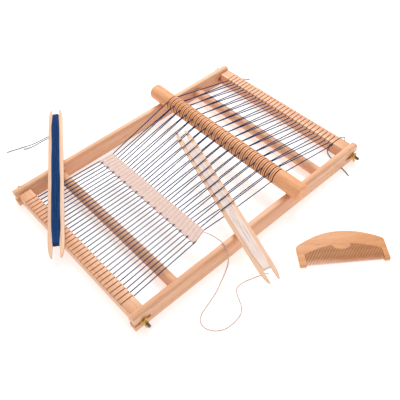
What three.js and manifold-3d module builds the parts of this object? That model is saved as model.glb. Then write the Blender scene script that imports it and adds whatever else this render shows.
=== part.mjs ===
// A wooden tabletop loom, warped and with the first band woven, with its two stick
// shuttles and its beating comb. Millimetres, +Z up, standing on the plane z = 0.
// X runs across the loom, Y from the weaver's end to the far end.

import * as THREE from 'three';
import { mergeVertices } from 'three/addons/utils/BufferGeometryUtils.js';
import Module from 'manifold-3d';

const wasm = await Module();
wasm.setup();

// ---------------------------------------------------------------- driving dimensions

const gap = 0.3; // clearance kept between pieces that touch

// Frame: two side rails joined by two round cross bars.
const loomWidth = 307;
const railLength = 450;
const railThickness = 12;
const railHeight = 28;
const railRound = 4.6; // round-over along the rail's top edges
const railChamfer = 0.8; // broken edge along its foot
const axisHeight = 12; // height of the cross bars' and studs' axes
const crossBarRadius = 8.5;
const crossBarInset = 78; // distance of each cross bar from the rails' ends
const crossBarDepth = 8; // depth of its blind hole in the rail
const railSlotLength = 26; // length of the open slot for a stud at each end
const tailGrooveY = 191; // a shallow groove under the right rail lets a yarn end out
const tailGrooveWidth = 5.6;
const tailGrooveHeight = 2;

// Warp beams: slotted bars that carry the warp at both ends.
const beamDepth = 20;
const beamHeight = 21;
const beamChamfer = 1;
const frontBeamInset = 14.5; // from the rails' front ends to the front studs
const rearBeamInset = 10.5; // and from their far ends to the rear studs
const beamSideClearance = 0.5;
const warpEnds = 32;
const warpPitch = 7.75;
const sawSlotWidth = 1.8;
const sawSlotDepth = 4.5;

// Tension studs, washers and wing nuts.
const studRadius = 2.45;
const studReach = 13; // how far a stud stands out past the rail
const studInBeam = 24;
const washerRadius = 5.4;
const washerThickness = 1;
const nutRadius = 4.1;
const nutLength = 5;
const wingSpan = 9.6; // from the nut's axis to a wing's tip
const wingThickness = 1.8;

// Heddle roller: it lies on the rails, with a deep and a shallow slot in turn.
const rollerRadius = 13.3;
const rollerY = 74.5;
const rollerPastLeft = 18.5; // how far the roller reaches past each rail
const rollerPastRight = 13.5;
const rollerDome = 8;
const rollerSlotWidth = 2.4;
const rollerFloorRadius = 5.2;
const rollerFloorOffset = 4.4;

// Yarn and the woven band.
const yarnRadius = 0.6;
const bandFront = -92;
const bandRear = -68;
const bandThickness = 3;
const bandFrontEdges = [-106, 118]; // first and last warp end at the band's front
const bandRearEdges = [-102, 112]; // and at the fell, where it is drawn in most
const bandSelvedge = 1.5;

// Stick shuttles, a matching pair.
const stickLength = 306;
const stickWidth = 24;
const stickThickness = 3;
const notchWidth = 10.5;
const notchDepth = 24;
const prongTip = 6.5; // a prong's point, from the stick's centre line
const prongTaper = 30; // length over which a prong's outer edge curves in

// The cream shuttle lies in the open shed and out over the right rail.
const creamMiddle = new THREE.Vector2(91.9, -12.2);
const creamAngle = THREE.MathUtils.degToRad(-17.77);
const creamPack = { from: 133, to: 133, width: 12, thickness: 4.8 };

// The navy shuttle rests on the left rail's ridge and on the front beam's edge.
const navyFromBeam = 74.2; // from the front beam's outer face to where it meets the ridge
const navyBeamX = -31.9;
const navyPastRail = 127.3; // from the ridge to the shuttle's far points
const navyBeamLift = 1; // clearance over the front beam's edge
const navyPack = { from: 141, to: 133, width: 13.5, thickness: 9 };

// Beating comb, lying flat on the table.
const combPastRail = 118.5; // from the rail's outer face to the middle of its teeth
const combY = 51.3;
const combAngle = THREE.MathUtils.degToRad(52.1);
const combThickness = 6;
const combPitch = 2.1;
const combToothWidth = 1.25;
const combTeeth = 52;

// ------------------------------------------------------------------- derived places

const railX = loomWidth / 2 - railThickness / 2;
const railInside = loomWidth / 2 - railThickness;
const crossBarY = railLength / 2 - crossBarInset;
const frontBeamY = frontBeamInset - railLength / 2;
const rearBeamY = railLength / 2 - rearBeamInset;
const beamTop = axisHeight + beamHeight / 2;
const slotYarnZ = beamTop - sawSlotDepth + gap + yarnRadius;
const rollerZ = railHeight + gap + rollerRadius;
const rollerLeft = -loomWidth / 2 - rollerPastLeft;
const rollerRight = loomWidth / 2 + rollerPastRight;
const floorYarnRadius = rollerFloorRadius + gap + yarnRadius;
const frontBeamInside = frontBeamY + beamDepth / 2;
const rearBeamInside = rearBeamY - beamDepth / 2;
const warpSlope = (rollerZ + floorYarnRadius - slotYarnZ) / (rollerY - frontBeamInside);
const slotX = (i) => (i - (warpEnds - 1) / 2) * warpPitch;
const warpHeight = (y) => slotYarnZ + warpSlope * (y - frontBeamInside);

// --------------------------------------------------------------------- solid helpers

function toSolid(geometry) {
  const bare = geometry.clone();
  bare.deleteAttribute('normal');
  bare.deleteAttribute('uv');
  const merged = mergeVertices(bare, 1e-4);
  return new wasm.Manifold(
    new wasm.Mesh({
      numProp: 3,
      vertProperties: new Float32Array(merged.attributes.position.array),
      triVerts: new Uint32Array(merged.index.array),
    }),
  );
}

function toGeometry(solid) {
  const mesh = solid.getMesh();
  const geometry = new THREE.BufferGeometry();
  geometry.setAttribute('position', new THREE.BufferAttribute(mesh.vertProperties, 3));
  geometry.setIndex(new THREE.BufferAttribute(mesh.triVerts, 1));
  return geometry;
}

function cut(body, cutters) {
  return toGeometry(cutters.reduce((left, c) => left.subtract(toSolid(c)), toSolid(body)));
}

// A cylinder whose axis runs along X from x0 to x1.
function rodX(radius, x0, x1, sides, y = 0, z = 0) {
  const rod = new THREE.CylinderGeometry(radius, radius, x1 - x0, sides);
  return rod.rotateZ(Math.PI / 2).translate((x0 + x1) / 2, y, z);
}

function block(x0, x1, y0, y1, z0, z1) {
  const box = new THREE.BoxGeometry(x1 - x0, y1 - y0, z1 - z0);
  return box.translate((x0 + x1) / 2, (y0 + y1) / 2, (z0 + z1) / 2);
}

function prism(shape, depth, curveSegments = 4) {
  return new THREE.ExtrudeGeometry(shape, { depth, bevelEnabled: false, curveSegments });
}

// A path that passes exactly through its points, with the sections set half-way
// round each corner.
class ThreadPath extends THREE.Curve {
  constructor(points) {
    super();
    this.points = points;
  }

  getPointAt(u) {
    const place = u * (this.points.length - 1);
    const i = Math.min(Math.floor(place), this.points.length - 2);
    return this.points[i].clone().lerp(this.points[i + 1], place - i);
  }

  getTangentAt(u) {
    const i = Math.round(u * (this.points.length - 1));
    const before = this.points[Math.max(i - 1, 0)];
    const here = this.points[i];
    const after = this.points[Math.min(i + 1, this.points.length - 1)];
    const back = here.clone().sub(before).normalize();
    return after.clone().sub(here).normalize().add(back).normalize();
  }
}

function roundSection(radius, sides) {
  const corners = Array.from({ length: sides }, (_, k) => {
    const angle = (2 * Math.PI * k) / sides;
    return new THREE.Vector2(radius * Math.cos(angle), radius * Math.sin(angle));
  });
  return new THREE.Shape(corners);
}

function threadThrough(points, radius, sides) {
  return new THREE.ExtrudeGeometry(roundSection(radius, sides), {
    steps: points.length - 1,
    extrudePath: new ThreadPath(points),
    bevelEnabled: false,
  });
}

// A free yarn on one smooth curve through points given as [x, y, z].
function looseYarn(points, radius, steps) {
  const route = new THREE.CatmullRomCurve3(points.map((p) => new THREE.Vector3(...p)));
  return new THREE.ExtrudeGeometry(roundSection(radius, 8), {
    steps,
    extrudePath: route,
    bevelEnabled: false,
  });
}

// ------------------------------------------------------------------------- materials

const beech = { color: 0xeccdb4, roughness: 0.55, metalness: 0 };
const paleBeech = { color: 0xf0d6bf, roughness: 0.5, metalness: 0 };
const pearwood = { color: 0xc98a55, roughness: 0.45, metalness: 0 };
const steel = { color: 0xb9babd, roughness: 0.35, metalness: 1 };
const brass = { color: 0xc9a24e, roughness: 0.3, metalness: 1 };
const navyCotton = { color: 0x24456f, roughness: 0.9, metalness: 0 };
const creamCotton = { color: 0xf0e2cf, roughness: 0.9, metalness: 0 };

const loom = new THREE.Group();

function add(name, geometry, finish, parent = loom) {
  const mesh = new THREE.Mesh(geometry, new THREE.MeshStandardMaterial(finish));
  mesh.name = name;
  parent.add(mesh);
  return mesh;
}

// ----------------------------------------------------------------------------- frame

// A rail is flat below and round on top, with an open slot at each end for the studs
// and a blind hole on its inner face for each cross bar.
function makeRail(side) {
  const half = railThickness / 2;
  const profile = new THREE.Shape();
  profile.moveTo(-half + railChamfer, 0);
  profile.lineTo(half - railChamfer, 0);
  profile.lineTo(half, railChamfer);
  profile.lineTo(half, railHeight - railRound);
  profile.absarc(half - railRound, railHeight - railRound, railRound, 0, Math.PI / 2);
  profile.absarc(railRound - half, railHeight - railRound, railRound, Math.PI / 2, Math.PI);
  profile.lineTo(-half, railChamfer);
  const rail = prism(profile, railLength, 2).rotateX(Math.PI / 2);
  rail.translate(side * railX, railLength / 2, 0);

  const slotRadius = studRadius + gap;
  const outer = side * (loomWidth / 2 + 1);
  const inner = side * (railInside - 1);
  const [x0, x1] = [Math.min(outer, inner), Math.max(outer, inner)];
  const bore = [side * (railInside - 1), side * (railInside + crossBarDepth)];
  const cutters = [-1, 1].flatMap((end) => {
    const slotStop = end * (railLength / 2 - railSlotLength + slotRadius);
    const mouth = end * (railLength / 2 + 1);
    const [y0, y1] = [Math.min(slotStop, mouth), Math.max(slotStop, mouth)];
    return [
      block(x0, x1, y0, y1, axisHeight - slotRadius, axisHeight + slotRadius),
      rodX(slotRadius, x0, x1, 12, slotStop, axisHeight),
      rodX(crossBarRadius + gap, Math.min(...bore), Math.max(...bore), 20, end * crossBarY, axisHeight),
    ];
  });
  if (side > 0) {
    const [y0, y1] = [tailGrooveY - tailGrooveWidth / 2, tailGrooveY + tailGrooveWidth / 2];
    cutters.push(block(x0, x1, y0, y1, -1, tailGrooveHeight));
  }
  return cut(rail, cutters);
}

add('left_rail', makeRail(-1), beech);
add('right_rail', makeRail(1), beech);

function makeCrossBar(end) {
  const reach = railInside + crossBarDepth - gap;
  return rodX(crossBarRadius, -reach, reach, 20, end * crossBarY, axisHeight);
}

add('front_cross_bar', makeCrossBar(-1), beech);
add('rear_cross_bar', makeCrossBar(1), beech);

// ------------------------------------------------------------------------ warp beams

function makeBeam(y) {
  const reach = railInside - beamSideClearance;
  const halfDepth = beamDepth / 2;
  const foot = axisHeight - beamHeight / 2;
  const section = new THREE.Shape();
  section.moveTo(-halfDepth, foot + beamChamfer);
  section.lineTo(-halfDepth + beamChamfer, foot);
  section.lineTo(halfDepth - beamChamfer, foot);
  section.lineTo(halfDepth, foot + beamChamfer);
  section.lineTo(halfDepth, beamTop - beamChamfer);
  section.lineTo(halfDepth - beamChamfer, beamTop);
  section.lineTo(beamChamfer - halfDepth, beamTop);
  section.lineTo(-halfDepth, beamTop - beamChamfer);
  const bar = prism(section, 2 * reach);
  // Stand the section up and turn it so that the bar runs along X.
  bar.rotateX(Math.PI / 2).rotateZ(Math.PI / 2).translate(-reach, y, 0);

  const cutters = [-1, 1].map((side) => {
    const hole = [side * (reach + 1), side * (reach - studInBeam)];
    return rodX(studRadius + gap, Math.min(...hole), Math.max(...hole), 12, y, axisHeight);
  });
  for (let i = 0; i < warpEnds; i += 1) {
    const [x0, x1] = [slotX(i) - sawSlotWidth / 2, slotX(i) + sawSlotWidth / 2];
    cutters.push(block(x0, x1, y - halfDepth - 1, y + halfDepth + 1, beamTop - sawSlotDepth, beamTop + 1));
  }
  return cut(bar, cutters);
}

add('front_beam', makeBeam(frontBeamY), beech);
add('rear_beam', makeBeam(rearBeamY), beech);

// A wing nut stands upright at rest: a round hub with two rounded wings.
function makeWingNut() {
  const wings = new THREE.Shape();
  wings.moveTo(-nutRadius + 0.6, 0);
  wings.quadraticCurveTo(-nutRadius, wingSpan * 0.9, -2, wingSpan);
  wings.quadraticCurveTo(1.2, wingSpan * 0.95, 2.2, 0);
  wings.quadraticCurveTo(1.2, -wingSpan * 0.95, -2, -wingSpan);
  wings.quadraticCurveTo(-nutRadius, -wingSpan * 0.9, -nutRadius + 0.6, 0);
  const blade = prism(wings, wingThickness, 5);
  blade.rotateX(Math.PI / 2).rotateZ(Math.PI / 2).translate(nutLength - wingThickness - 0.4, 1, 0);
  const hub = toSolid(rodX(nutRadius, 0, nutLength, 14));
  const bore = toSolid(rodX(studRadius + gap, -1, nutLength + 1, 12));
  return toGeometry(hub.add(toSolid(blade)).subtract(bore));
}

function makeWasher() {
  const ring = rodX(washerRadius, 0, washerThickness, 18);
  return cut(ring, [rodX(studRadius + gap, -1, washerThickness + 1, 12)]);
}

for (const [end, y] of [['front', frontBeamY], ['rear', rearBeamY]]) {
  for (const [hand, side] of [['left', -1], ['right', 1]]) {
    const outside = loomWidth / 2;
    const inBeam = railInside - beamSideClearance - studInBeam + gap;
    const stud = rodX(studRadius, inBeam, outside + studReach, 12);
    const set = new THREE.Group();
    set.position.set(0, y, axisHeight);
    set.rotation.z = side > 0 ? 0 : Math.PI;
    loom.add(set);
    add(`${end}_${hand}_stud`, stud, steel, set);
    const washer = add(`${end}_${hand}_washer`, makeWasher(), brass, set);
    washer.position.x = outside + gap;
    const nut = add(`${end}_${hand}_wing_nut`, makeWingNut(), brass, set);
    nut.position.x = outside + washerThickness + 2 * gap;
  }
}

// --------------------------------------------------------------------- heddle roller

// Each slot's floor is a round core set off the roller's axis, up or down in turn, so
// that half a turn of the roller swaps the raised and the lowered warp ends.
function makeRoller() {
  const profile = [
    [0, rollerLeft],
    [rollerRadius * 0.55, rollerLeft + rollerDome * 0.12],
    [rollerRadius * 0.88, rollerLeft + rollerDome * 0.5],
    [rollerRadius, rollerLeft + rollerDome],
    [rollerRadius, rollerRight - 1.5],
    [rollerRadius - 1.5, rollerRight],
    [0, rollerRight],
  ].map(([r, x]) => new THREE.Vector2(r, x));
  const body = new THREE.LatheGeometry(profile, 20).rotateZ(-Math.PI / 2);
  let solid = toSolid(body);
  for (let i = 0; i < warpEnds; i += 1) {
    const offset = i % 2 === 0 ? -rollerFloorOffset : rollerFloorOffset;
    const ring = new THREE.Shape().absarc(0, 0, rollerRadius + 2, 0, 2 * Math.PI);
    ring.holes.push(new THREE.Path().absarc(offset, 0, rollerFloorRadius, 0, 2 * Math.PI));
    const cutter = prism(ring, rollerSlotWidth, 7).rotateY(Math.PI / 2);
    cutter.translate(slotX(i) - rollerSlotWidth / 2, 0, 0);
    solid = solid.subtract(toSolid(cutter));
  }
  return toGeometry(solid);
}

add('heddle_roller', makeRoller(), beech).position.set(0, rollerY, rollerZ);

// -------------------------------------------------------------------------- shuttles

// Plan of a stick shuttle: a long lath with a forked end at each side. A grown plan
// is the room that the lath needs inside its wound yarn.
function stickPlan(grow) {
  const tip = stickLength / 2 + grow;
  const half = stickWidth / 2 + grow;
  const notch = notchWidth / 2 - grow;
  const notchCentre = stickLength / 2 - notchDepth + notchWidth / 2;
  const taper = stickLength / 2 - prongTaper;
  const plan = new THREE.Shape();
  plan.moveTo(-taper, -half);
  plan.lineTo(taper, -half);
  plan.quadraticCurveTo(tip - prongTaper / 4, -half, tip, -prongTip);
  plan.lineTo(notchCentre, -notch);
  plan.absarc(notchCentre, 0, notch, -Math.PI / 2, Math.PI / 2, true);
  plan.lineTo(tip, prongTip);
  plan.quadraticCurveTo(tip - prongTaper / 4, half, taper, half);
  plan.lineTo(-taper, half);
  plan.quadraticCurveTo(prongTaper / 4 - tip, half, -tip, prongTip);
  plan.lineTo(-notchCentre, notch);
  plan.absarc(-notchCentre, 0, notch, Math.PI / 2, -Math.PI / 2, true);
  plan.lineTo(-tip, -prongTip);
  plan.quadraticCurveTo(prongTaper / 4 - tip, -half, -taper, -half);
  return plan;
}

function makeStick(grow = 0) {
  const thickness = stickThickness + 2 * grow;
  return prism(stickPlan(grow), thickness, 4).translate(0, 0, -thickness / 2);
}

// The yarn is wound lengthwise over both faces of the stick and through both notches.
function makePack({ from, to, width, thickness }) {
  const r = thickness / 2;
  const side = new THREE.Shape();
  side.absarc(to - r, 0, r, -Math.PI / 2, Math.PI / 2);
  side.absarc(r - from, 0, r, Math.PI / 2, (3 * Math.PI) / 2);
  const wound = prism(side, width, 3).rotateX(Math.PI / 2).translate(0, width / 2, 0);
  return cut(wound, [makeStick(gap)]);
}

// A frame whose x axis is the stick's length and whose z axis is its upper face.
function layStick(name, finish, yarnFinish, pack, centre, direction, up) {
  const x = direction.clone().normalize();
  const y = up.clone().cross(x).normalize();
  const z = x.clone().cross(y);
  const lying = new THREE.Group();
  lying.quaternion.setFromRotationMatrix(new THREE.Matrix4().makeBasis(x, y, z));
  lying.position.copy(centre);
  loom.add(lying);
  add(`${name}_shuttle`, makeStick(), finish, lying);
  add(`${name}_shuttle_yarn`, makePack(pack), yarnFinish, lying);
}

const creamAlong = new THREE.Vector2(Math.cos(creamAngle), Math.sin(creamAngle));
layStick(
  'cream',
  paleBeech,
  creamCotton,
  creamPack,
  new THREE.Vector3(creamMiddle.x, creamMiddle.y, warpHeight(creamMiddle.y)),
  new THREE.Vector3(creamAlong.x, creamAlong.y, creamAlong.y * warpSlope),
  new THREE.Vector3(0, -warpSlope, 1),
);

// The stick slopes down to the beam, so over the ridge it is lifted by what its yarn
// and the rail's width drop along that slope.
const navyBeamY = frontBeamY - beamDepth / 2;
const navyRailY = navyBeamY + navyFromBeam;
const navySpan = Math.hypot(navyBeamX + railX, navyBeamY - navyRailY);
const navyDrop = (Math.abs(railHeight - beamTop) / navySpan) * (navyPack.width + railThickness) / 2;
const navyRidge = new THREE.Vector3(
  -railX,
  navyRailY,
  railHeight + gap + navyDrop + navyPack.thickness / 2,
);
const navyEdge = new THREE.Vector3(
  navyBeamX,
  navyBeamY,
  beamTop + navyBeamLift + navyPack.thickness / 2,
);
const navyAlong = navyEdge.clone().sub(navyRidge).normalize();
layStick(
  'navy',
  paleBeech,
  navyCotton,
  navyPack,
  navyRidge.clone().addScaledVector(navyAlong, stickLength / 2 - navyPastRail),
  navyAlong,
  new THREE.Vector3(0, 0, 1),
);

// ------------------------------------------------------------------------------ warp

// The places where warp end i meets the edges of the cream shuttle, in plan, and how
// far the shuttle's faces stand off the middle of the shed there.
function shuttleSupports(from, to, side) {
  const across = new THREE.Vector2(-creamAlong.y, creamAlong.x);
  const run = to.clone().sub(from);
  const halfPack = creamPack.width / 2;
  const edges = [
    [-stickWidth / 2, stickThickness / 2, stickLength / 2],
    [-halfPack, creamPack.thickness / 2, creamPack.to],
    [halfPack, creamPack.thickness / 2, creamPack.to],
    [stickWidth / 2, stickThickness / 2, stickLength / 2],
  ];
  return edges.flatMap(([offset, stand, reach]) => {
    const s = (offset - from.clone().sub(creamMiddle).dot(across)) / run.dot(across);
    const met = from.clone().addScaledVector(run, s);
    const along = Math.abs(met.clone().sub(creamMiddle).dot(creamAlong));
    if (along > reach + gap) return [];
    return [{ y: met.y, z: warpHeight(met.y) + side * (stand + gap + yarnRadius) }];
  });
}

// Keeps the supports that a taut string touches as it runs over them (side 1) or
// under them (side -1).
function pullTaut(supports, side) {
  const kept = [];
  for (const c of supports) {
    while (kept.length > 1) {
      const [a, b] = kept.slice(-2);
      const turn = (b.y - a.y) * (c.z - a.z) - (b.z - a.z) * (c.y - a.y);
      if (side * turn < 0) break;
      kept.pop();
    }
    kept.push(c);
  }
  return kept;
}

const bandX = (edges, i) => edges[0] + ((edges[1] - edges[0]) * i) / (warpEnds - 1);

// One warp end from the front beam's outer face to the rear beam's.
function warpEndPoints(i) {
  const side = i % 2 === 0 ? 1 : -1;
  const x = slotX(i);
  const turnFront = frontBeamY - beamDepth / 2 - gap - yarnRadius;
  const turnRear = rearBeamY + beamDepth / 2 + gap + yarnRadius;
  const intoRoller = rollerY - rollerRadius - gap;
  const fell = new THREE.Vector2(bandX(bandRearEdges, i), bandRear);
  const guide = new THREE.Vector2(x, intoRoller);
  const coreZ = rollerZ + side * rollerFloorOffset;
  const core = [97, 87, 77].map((degrees) => {
    const angle = THREE.MathUtils.degToRad(degrees);
    const y = rollerY + floorYarnRadius * Math.cos(angle);
    return { y, z: coreZ + floorYarnRadius * Math.sin(angle) };
  });
  const start = { y: fell.y, z: warpHeight(fell.y) };
  const shed = pullTaut([start, ...shuttleSupports(fell, guide, side), core[0]], side);
  const last = shed[shed.length - 2];
  const share = (intoRoller - last.y) / (core[0].y - last.y);
  shed.splice(-1, 0, { y: intoRoller, z: last.z + share * (core[0].z - last.z) });
  const planX = (y) => fell.x + (Math.min((y - fell.y) / (guide.y - fell.y), 1)) * (x - fell.x);
  return [
    new THREE.Vector3(x, turnFront, slotYarnZ),
    new THREE.Vector3(x, frontBeamInside, slotYarnZ),
    new THREE.Vector3(bandX(bandFrontEdges, i), bandFront, warpHeight(bandFront)),
    ...shed.map((p) => new THREE.Vector3(planX(p.y), p.y, p.z)),
    ...core.slice(1).map((p) => new THREE.Vector3(x, p.y, p.z)),
    new THREE.Vector3(x, rearBeamInside, slotYarnZ),
    new THREE.Vector3(x, turnRear, slotYarnZ),
  ];
}

// The warp is one long yarn that turns round every second tooth of each beam.
const warpPoints = [];
for (let i = 0; i < warpEnds; i += 1) {
  const end = warpEndPoints(i);
  warpPoints.push(...(i % 2 === 0 ? end.reverse() : end));
}
add('warp', threadThrough(warpPoints, yarnRadius, 5), navyCotton);

// The woven band is a thin slab that the warp runs through.
function makeBand() {
  const plan = new THREE.Shape([
    new THREE.Vector2(bandFrontEdges[0] - bandSelvedge, bandFront),
    new THREE.Vector2(bandFrontEdges[1] + bandSelvedge, bandFront),
    new THREE.Vector2(bandRearEdges[1] + bandSelvedge, bandRear),
    new THREE.Vector2(bandRearEdges[0] - bandSelvedge, bandRear),
  ]);
  const slab = prism(plan, bandThickness);
  const rise = warpHeight(0) - bandThickness / 2;
  slab.applyMatrix4(new THREE.Matrix4().set(1, 0, 0, 0, 0, 1, 0, 0, 0, warpSlope, 1, rise, 0, 0, 0, 1));
  const tunnels = Array.from({ length: warpEnds }, (_, i) => {
    const from = new THREE.Vector3(bandX(bandFrontEdges, i), bandFront, warpHeight(bandFront));
    const to = new THREE.Vector3(bandX(bandRearEdges, i), bandRear, warpHeight(bandRear));
    const past = to.clone().sub(from).multiplyScalar(0.1);
    return threadThrough([from.sub(past), to.add(past)], yarnRadius + gap, 6);
  });
  return cut(slab, tunnels);
}

add('woven_band', makeBand(), creamCotton);

// ------------------------------------------------------------------------------ comb

// The comb in its own plane: x along the teeth's tips, y from the tips to its back.
function makeComb() {
  const left = -65;
  const right = 60.5;
  const firstTooth = -55.4;
  const toothTips = -2;
  const teethEnd = firstTooth + combTeeth * combPitch;
  const middle = firstTooth + (combTeeth * combPitch) / 2;
  // The teeth's roots follow two arches that meet in the middle.
  const rootAt = (x) => {
    const t = Math.abs(x - middle) / (teethEnd - middle);
    return 19 + 11 * Math.sin(Math.PI * Math.min(t * 1.35, 1)) ** 0.9 - 3.5 * t;
  };
  const plan = new THREE.Shape();
  plan.moveTo(left, toothTips);
  plan.lineTo(firstTooth, toothTips);
  for (let k = 0; k < combTeeth; k += 1) {
    const cutStart = firstTooth + k * combPitch;
    const cutEnd = cutStart + combPitch - combToothWidth;
    plan.lineTo(cutStart, rootAt(cutStart));
    plan.lineTo(cutEnd, rootAt(cutEnd));
    plan.lineTo(cutEnd, toothTips);
    if (k < combTeeth - 1) plan.lineTo(cutStart + combPitch, toothTips);
  }
  plan.lineTo(right, toothTips);
  plan.lineTo(right, 30);
  plan.quadraticCurveTo(right, 34, right - 5, 36.5);
  plan.bezierCurveTo(34, 48, 18, 52, -2, 52);
  plan.bezierCurveTo(-24, 52, -40, 45, left + 5, 34);
  plan.quadraticCurveTo(left, 31.5, left, 28);
  return prism(plan, combThickness, 6);
}

const comb = add('comb', makeComb(), pearwood);
comb.position.set(loomWidth / 2 + combPastRail, combY, 0);
comb.rotation.z = combAngle;

// ----------------------------------------------------------------------- loose yarns

const onTable = yarnRadius + 0.4;

// From the fell's right selvedge, over the right rail, round a loop on the table and
// back up into the cream shuttle's notch.
const weftTailRoute = [
  [114.6, -69.5, 32.6],
  [122, -66.3, 31.6],
  [132, -63.4, 30.3],
  [142, -62.2, 29.5],
  [150, -63.4, 29.3],
  [155.5, -64.4, 26.5],
  [157.4, -64.8, 19],
  [157.6, -64.8, 10],
  [158.6, -65.6, 3.2],
  [161.5, -69.5, onTable],
  [168.6, -81.8, onTable],
  [175.5, -96.5, onTable],
  [181.6, -110, onTable],
  [186.2, -124.5, onTable],
  [190, -138.1, onTable],
  [193, -147.5, onTable],
  [197.7, -153.9, onTable],
  [204, -157.4, onTable],
  [211, -157.3, onTable],
  [218.5, -154.2, onTable],
  [224.3, -149, onTable],
  [228.6, -142, onTable],
  [230.5, -133.9, onTable],
  [230.5, -122, onTable],
  [228.5, -112, onTable],
  [222.9, -103.6, onTable],
  [213, -97.4, onTable],
  [203.2, -92.6, onTable],
  [197.4, -87.5, onTable],
  [196, -80.6, 1.6],
  [199.5, -73, 6],
  [206, -67, 14],
  [213.5, -61.5, 22.8],
  [219.5, -56.6, 29.2],
  [222.9, -54.3, 31.6],
];
add('weft_tail', looseYarn(weftTailRoute, yarnRadius, 80), creamCotton);

// Both ends of the wound navy yarn come out from under the shuttle and lie on the table.
const navyTailRoute = [
  [-210.2, -115, 32.4],
  [-212.4, -119.6, 31.6],
  [-217.3, -125, 27.8],
  [-225.5, -129.9, 21],
  [-235, -134.3, 13],
  [-243.5, -139, 6.2],
  [-249.6, -144.4, 2.4],
  [-253.6, -150.2, onTable],
  [-255.6, -155.5, onTable],
  [-257.5, -162.3, onTable],
  [-259.7, -168.7, onTable],
  [-262, -175.2, onTable],
  [-263.1, -180.4, onTable],
];
add('navy_tail', looseYarn(navyTailRoute, yarnRadius, 32), navyCotton);

const navyShortTailRoute = [
  [-206.4, -117.4, 32.2],
  [-208.8, -121.8, 31.4],
  [-213.9, -127.1, 27.6],
  [-221.9, -132.1, 20.8],
  [-231, -137, 12.8],
  [-238.5, -142.1, 6.2],
  [-244, -147, 2.4],
  [-247.6, -151.6, onTable],
  [-250, -155.8, onTable],
];
add('navy_short_tail', looseYarn(navyShortTailRoute, yarnRadius, 24), navyCotton);

// The warp yarn's two ends, which leave the first and the last slot of the rear beam.
const tailY = rearBeamY + beamDepth / 2 + gap + yarnRadius;
const leftTailRoute = [
  [slotX(0), tailY + gap, slotYarnZ],
  [slotX(0) - 0.5, tailY + 2.8, slotYarnZ - 0.8],
  [-121.8, tailY + 5.2, 14.6],
  [-123.6, 232.6, 8.4],
  [-125, 235.6, 3],
  [-125.3, 239.4, onTable],
  [-122.6, 243.4, onTable],
  [-118.6, 246.8, onTable],
  [-114.6, 249.4, onTable],
  [-111.4, 252, onTable],
];
add('rear_left_tail', looseYarn(leftTailRoute, yarnRadius, 24), navyCotton);

// The right end loops behind the beam, comes back through the last slot over the warp,
// drops to the table and runs out through the groove under the rail.
const secondStrand = slotYarnZ + 2 * yarnRadius + gap;
const rightTailRoute = [
  [slotX(warpEnds - 1), tailY + gap, slotYarnZ],
  [slotX(warpEnds - 1) + 0.3, tailY + 2.4, slotYarnZ + 0.8],
  [121.8, tailY + 4.9, 20.4],
  [125.2, tailY + 4.6, 20.8],
  [127.2, tailY + 2.4, 18.6],
  [127, tailY + 1.4, 14.4],
  [124.8, tailY + 1.7, 11.6],
  [121.8, tailY + 2.2, 12.2],
  [119.4, tailY + 2.6, 15.4],
  [118.6, tailY + 2.3, 18.6],
  [119.4, tailY + 1.2, 20.8],
  [slotX(warpEnds - 1), 224.4, secondStrand],
  [slotX(warpEnds - 1), 218, secondStrand],
  [slotX(warpEnds - 1), 211, secondStrand],
  [slotX(warpEnds - 1), 206, secondStrand],
  [119.7, 204, 20.8],
  [118.5, 202.5, 20.6],
  [117.4, 201.5, 18.2],
  [116.7, 200.9, 12.8],
  [116, 200.8, 7.4],
  [116.1, 200.8, 3.6],
  [118, 200, onTable + 0.3],
  [121.8, 198.2, onTable],
  [126.8, 196.2, onTable],
  [132.3, 194.6, onTable],
  [137, 193.2, onTable],
  [142, 192, onTable],
  [147.5, 190.9, onTable],
  [153.5, 189.9, onTable],
  [159, 188.7, onTable],
  [164, 187.3, onTable],
  [168, 185.7, onTable],
  [171.9, 184.4, onTable],
];
add('rear_right_tail', looseYarn(rightTailRoute, yarnRadius, 62), navyCotton);

// The finished group stands with the middle of its footprint, loose yarns left out,
// on the origin.
const tails = ['weft_tail', 'navy_tail', 'navy_short_tail', 'rear_left_tail', 'rear_right_tail'];
loom.updateMatrixWorld(true);
const footprint = new THREE.Box3();
loom.traverse((piece) => {
  if (piece.isMesh && !tails.includes(piece.name)) footprint.expandByObject(piece, true);
});
const middle = footprint.getCenter(new THREE.Vector3());
loom.position.set(-middle.x, -middle.y, -footprint.min.z);

export default loom;
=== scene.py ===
# %% [markdown]
# # A small wooden loom
#
# A tabletop loom of beech: two rails, two slotted beams that hold the warp, and a round
# heddle roller that lifts every second thread. On it lie two stick shuttles, and a
# beating comb lies beside it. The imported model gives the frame: every part already has
# its size and place. This lesson gives each part its real surface.

# %% Load the frame
import math

import bmesh
import bpy
from mathutils import Matrix, Vector, noise
from mathutils.geometry import interpolate_bezier


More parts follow.
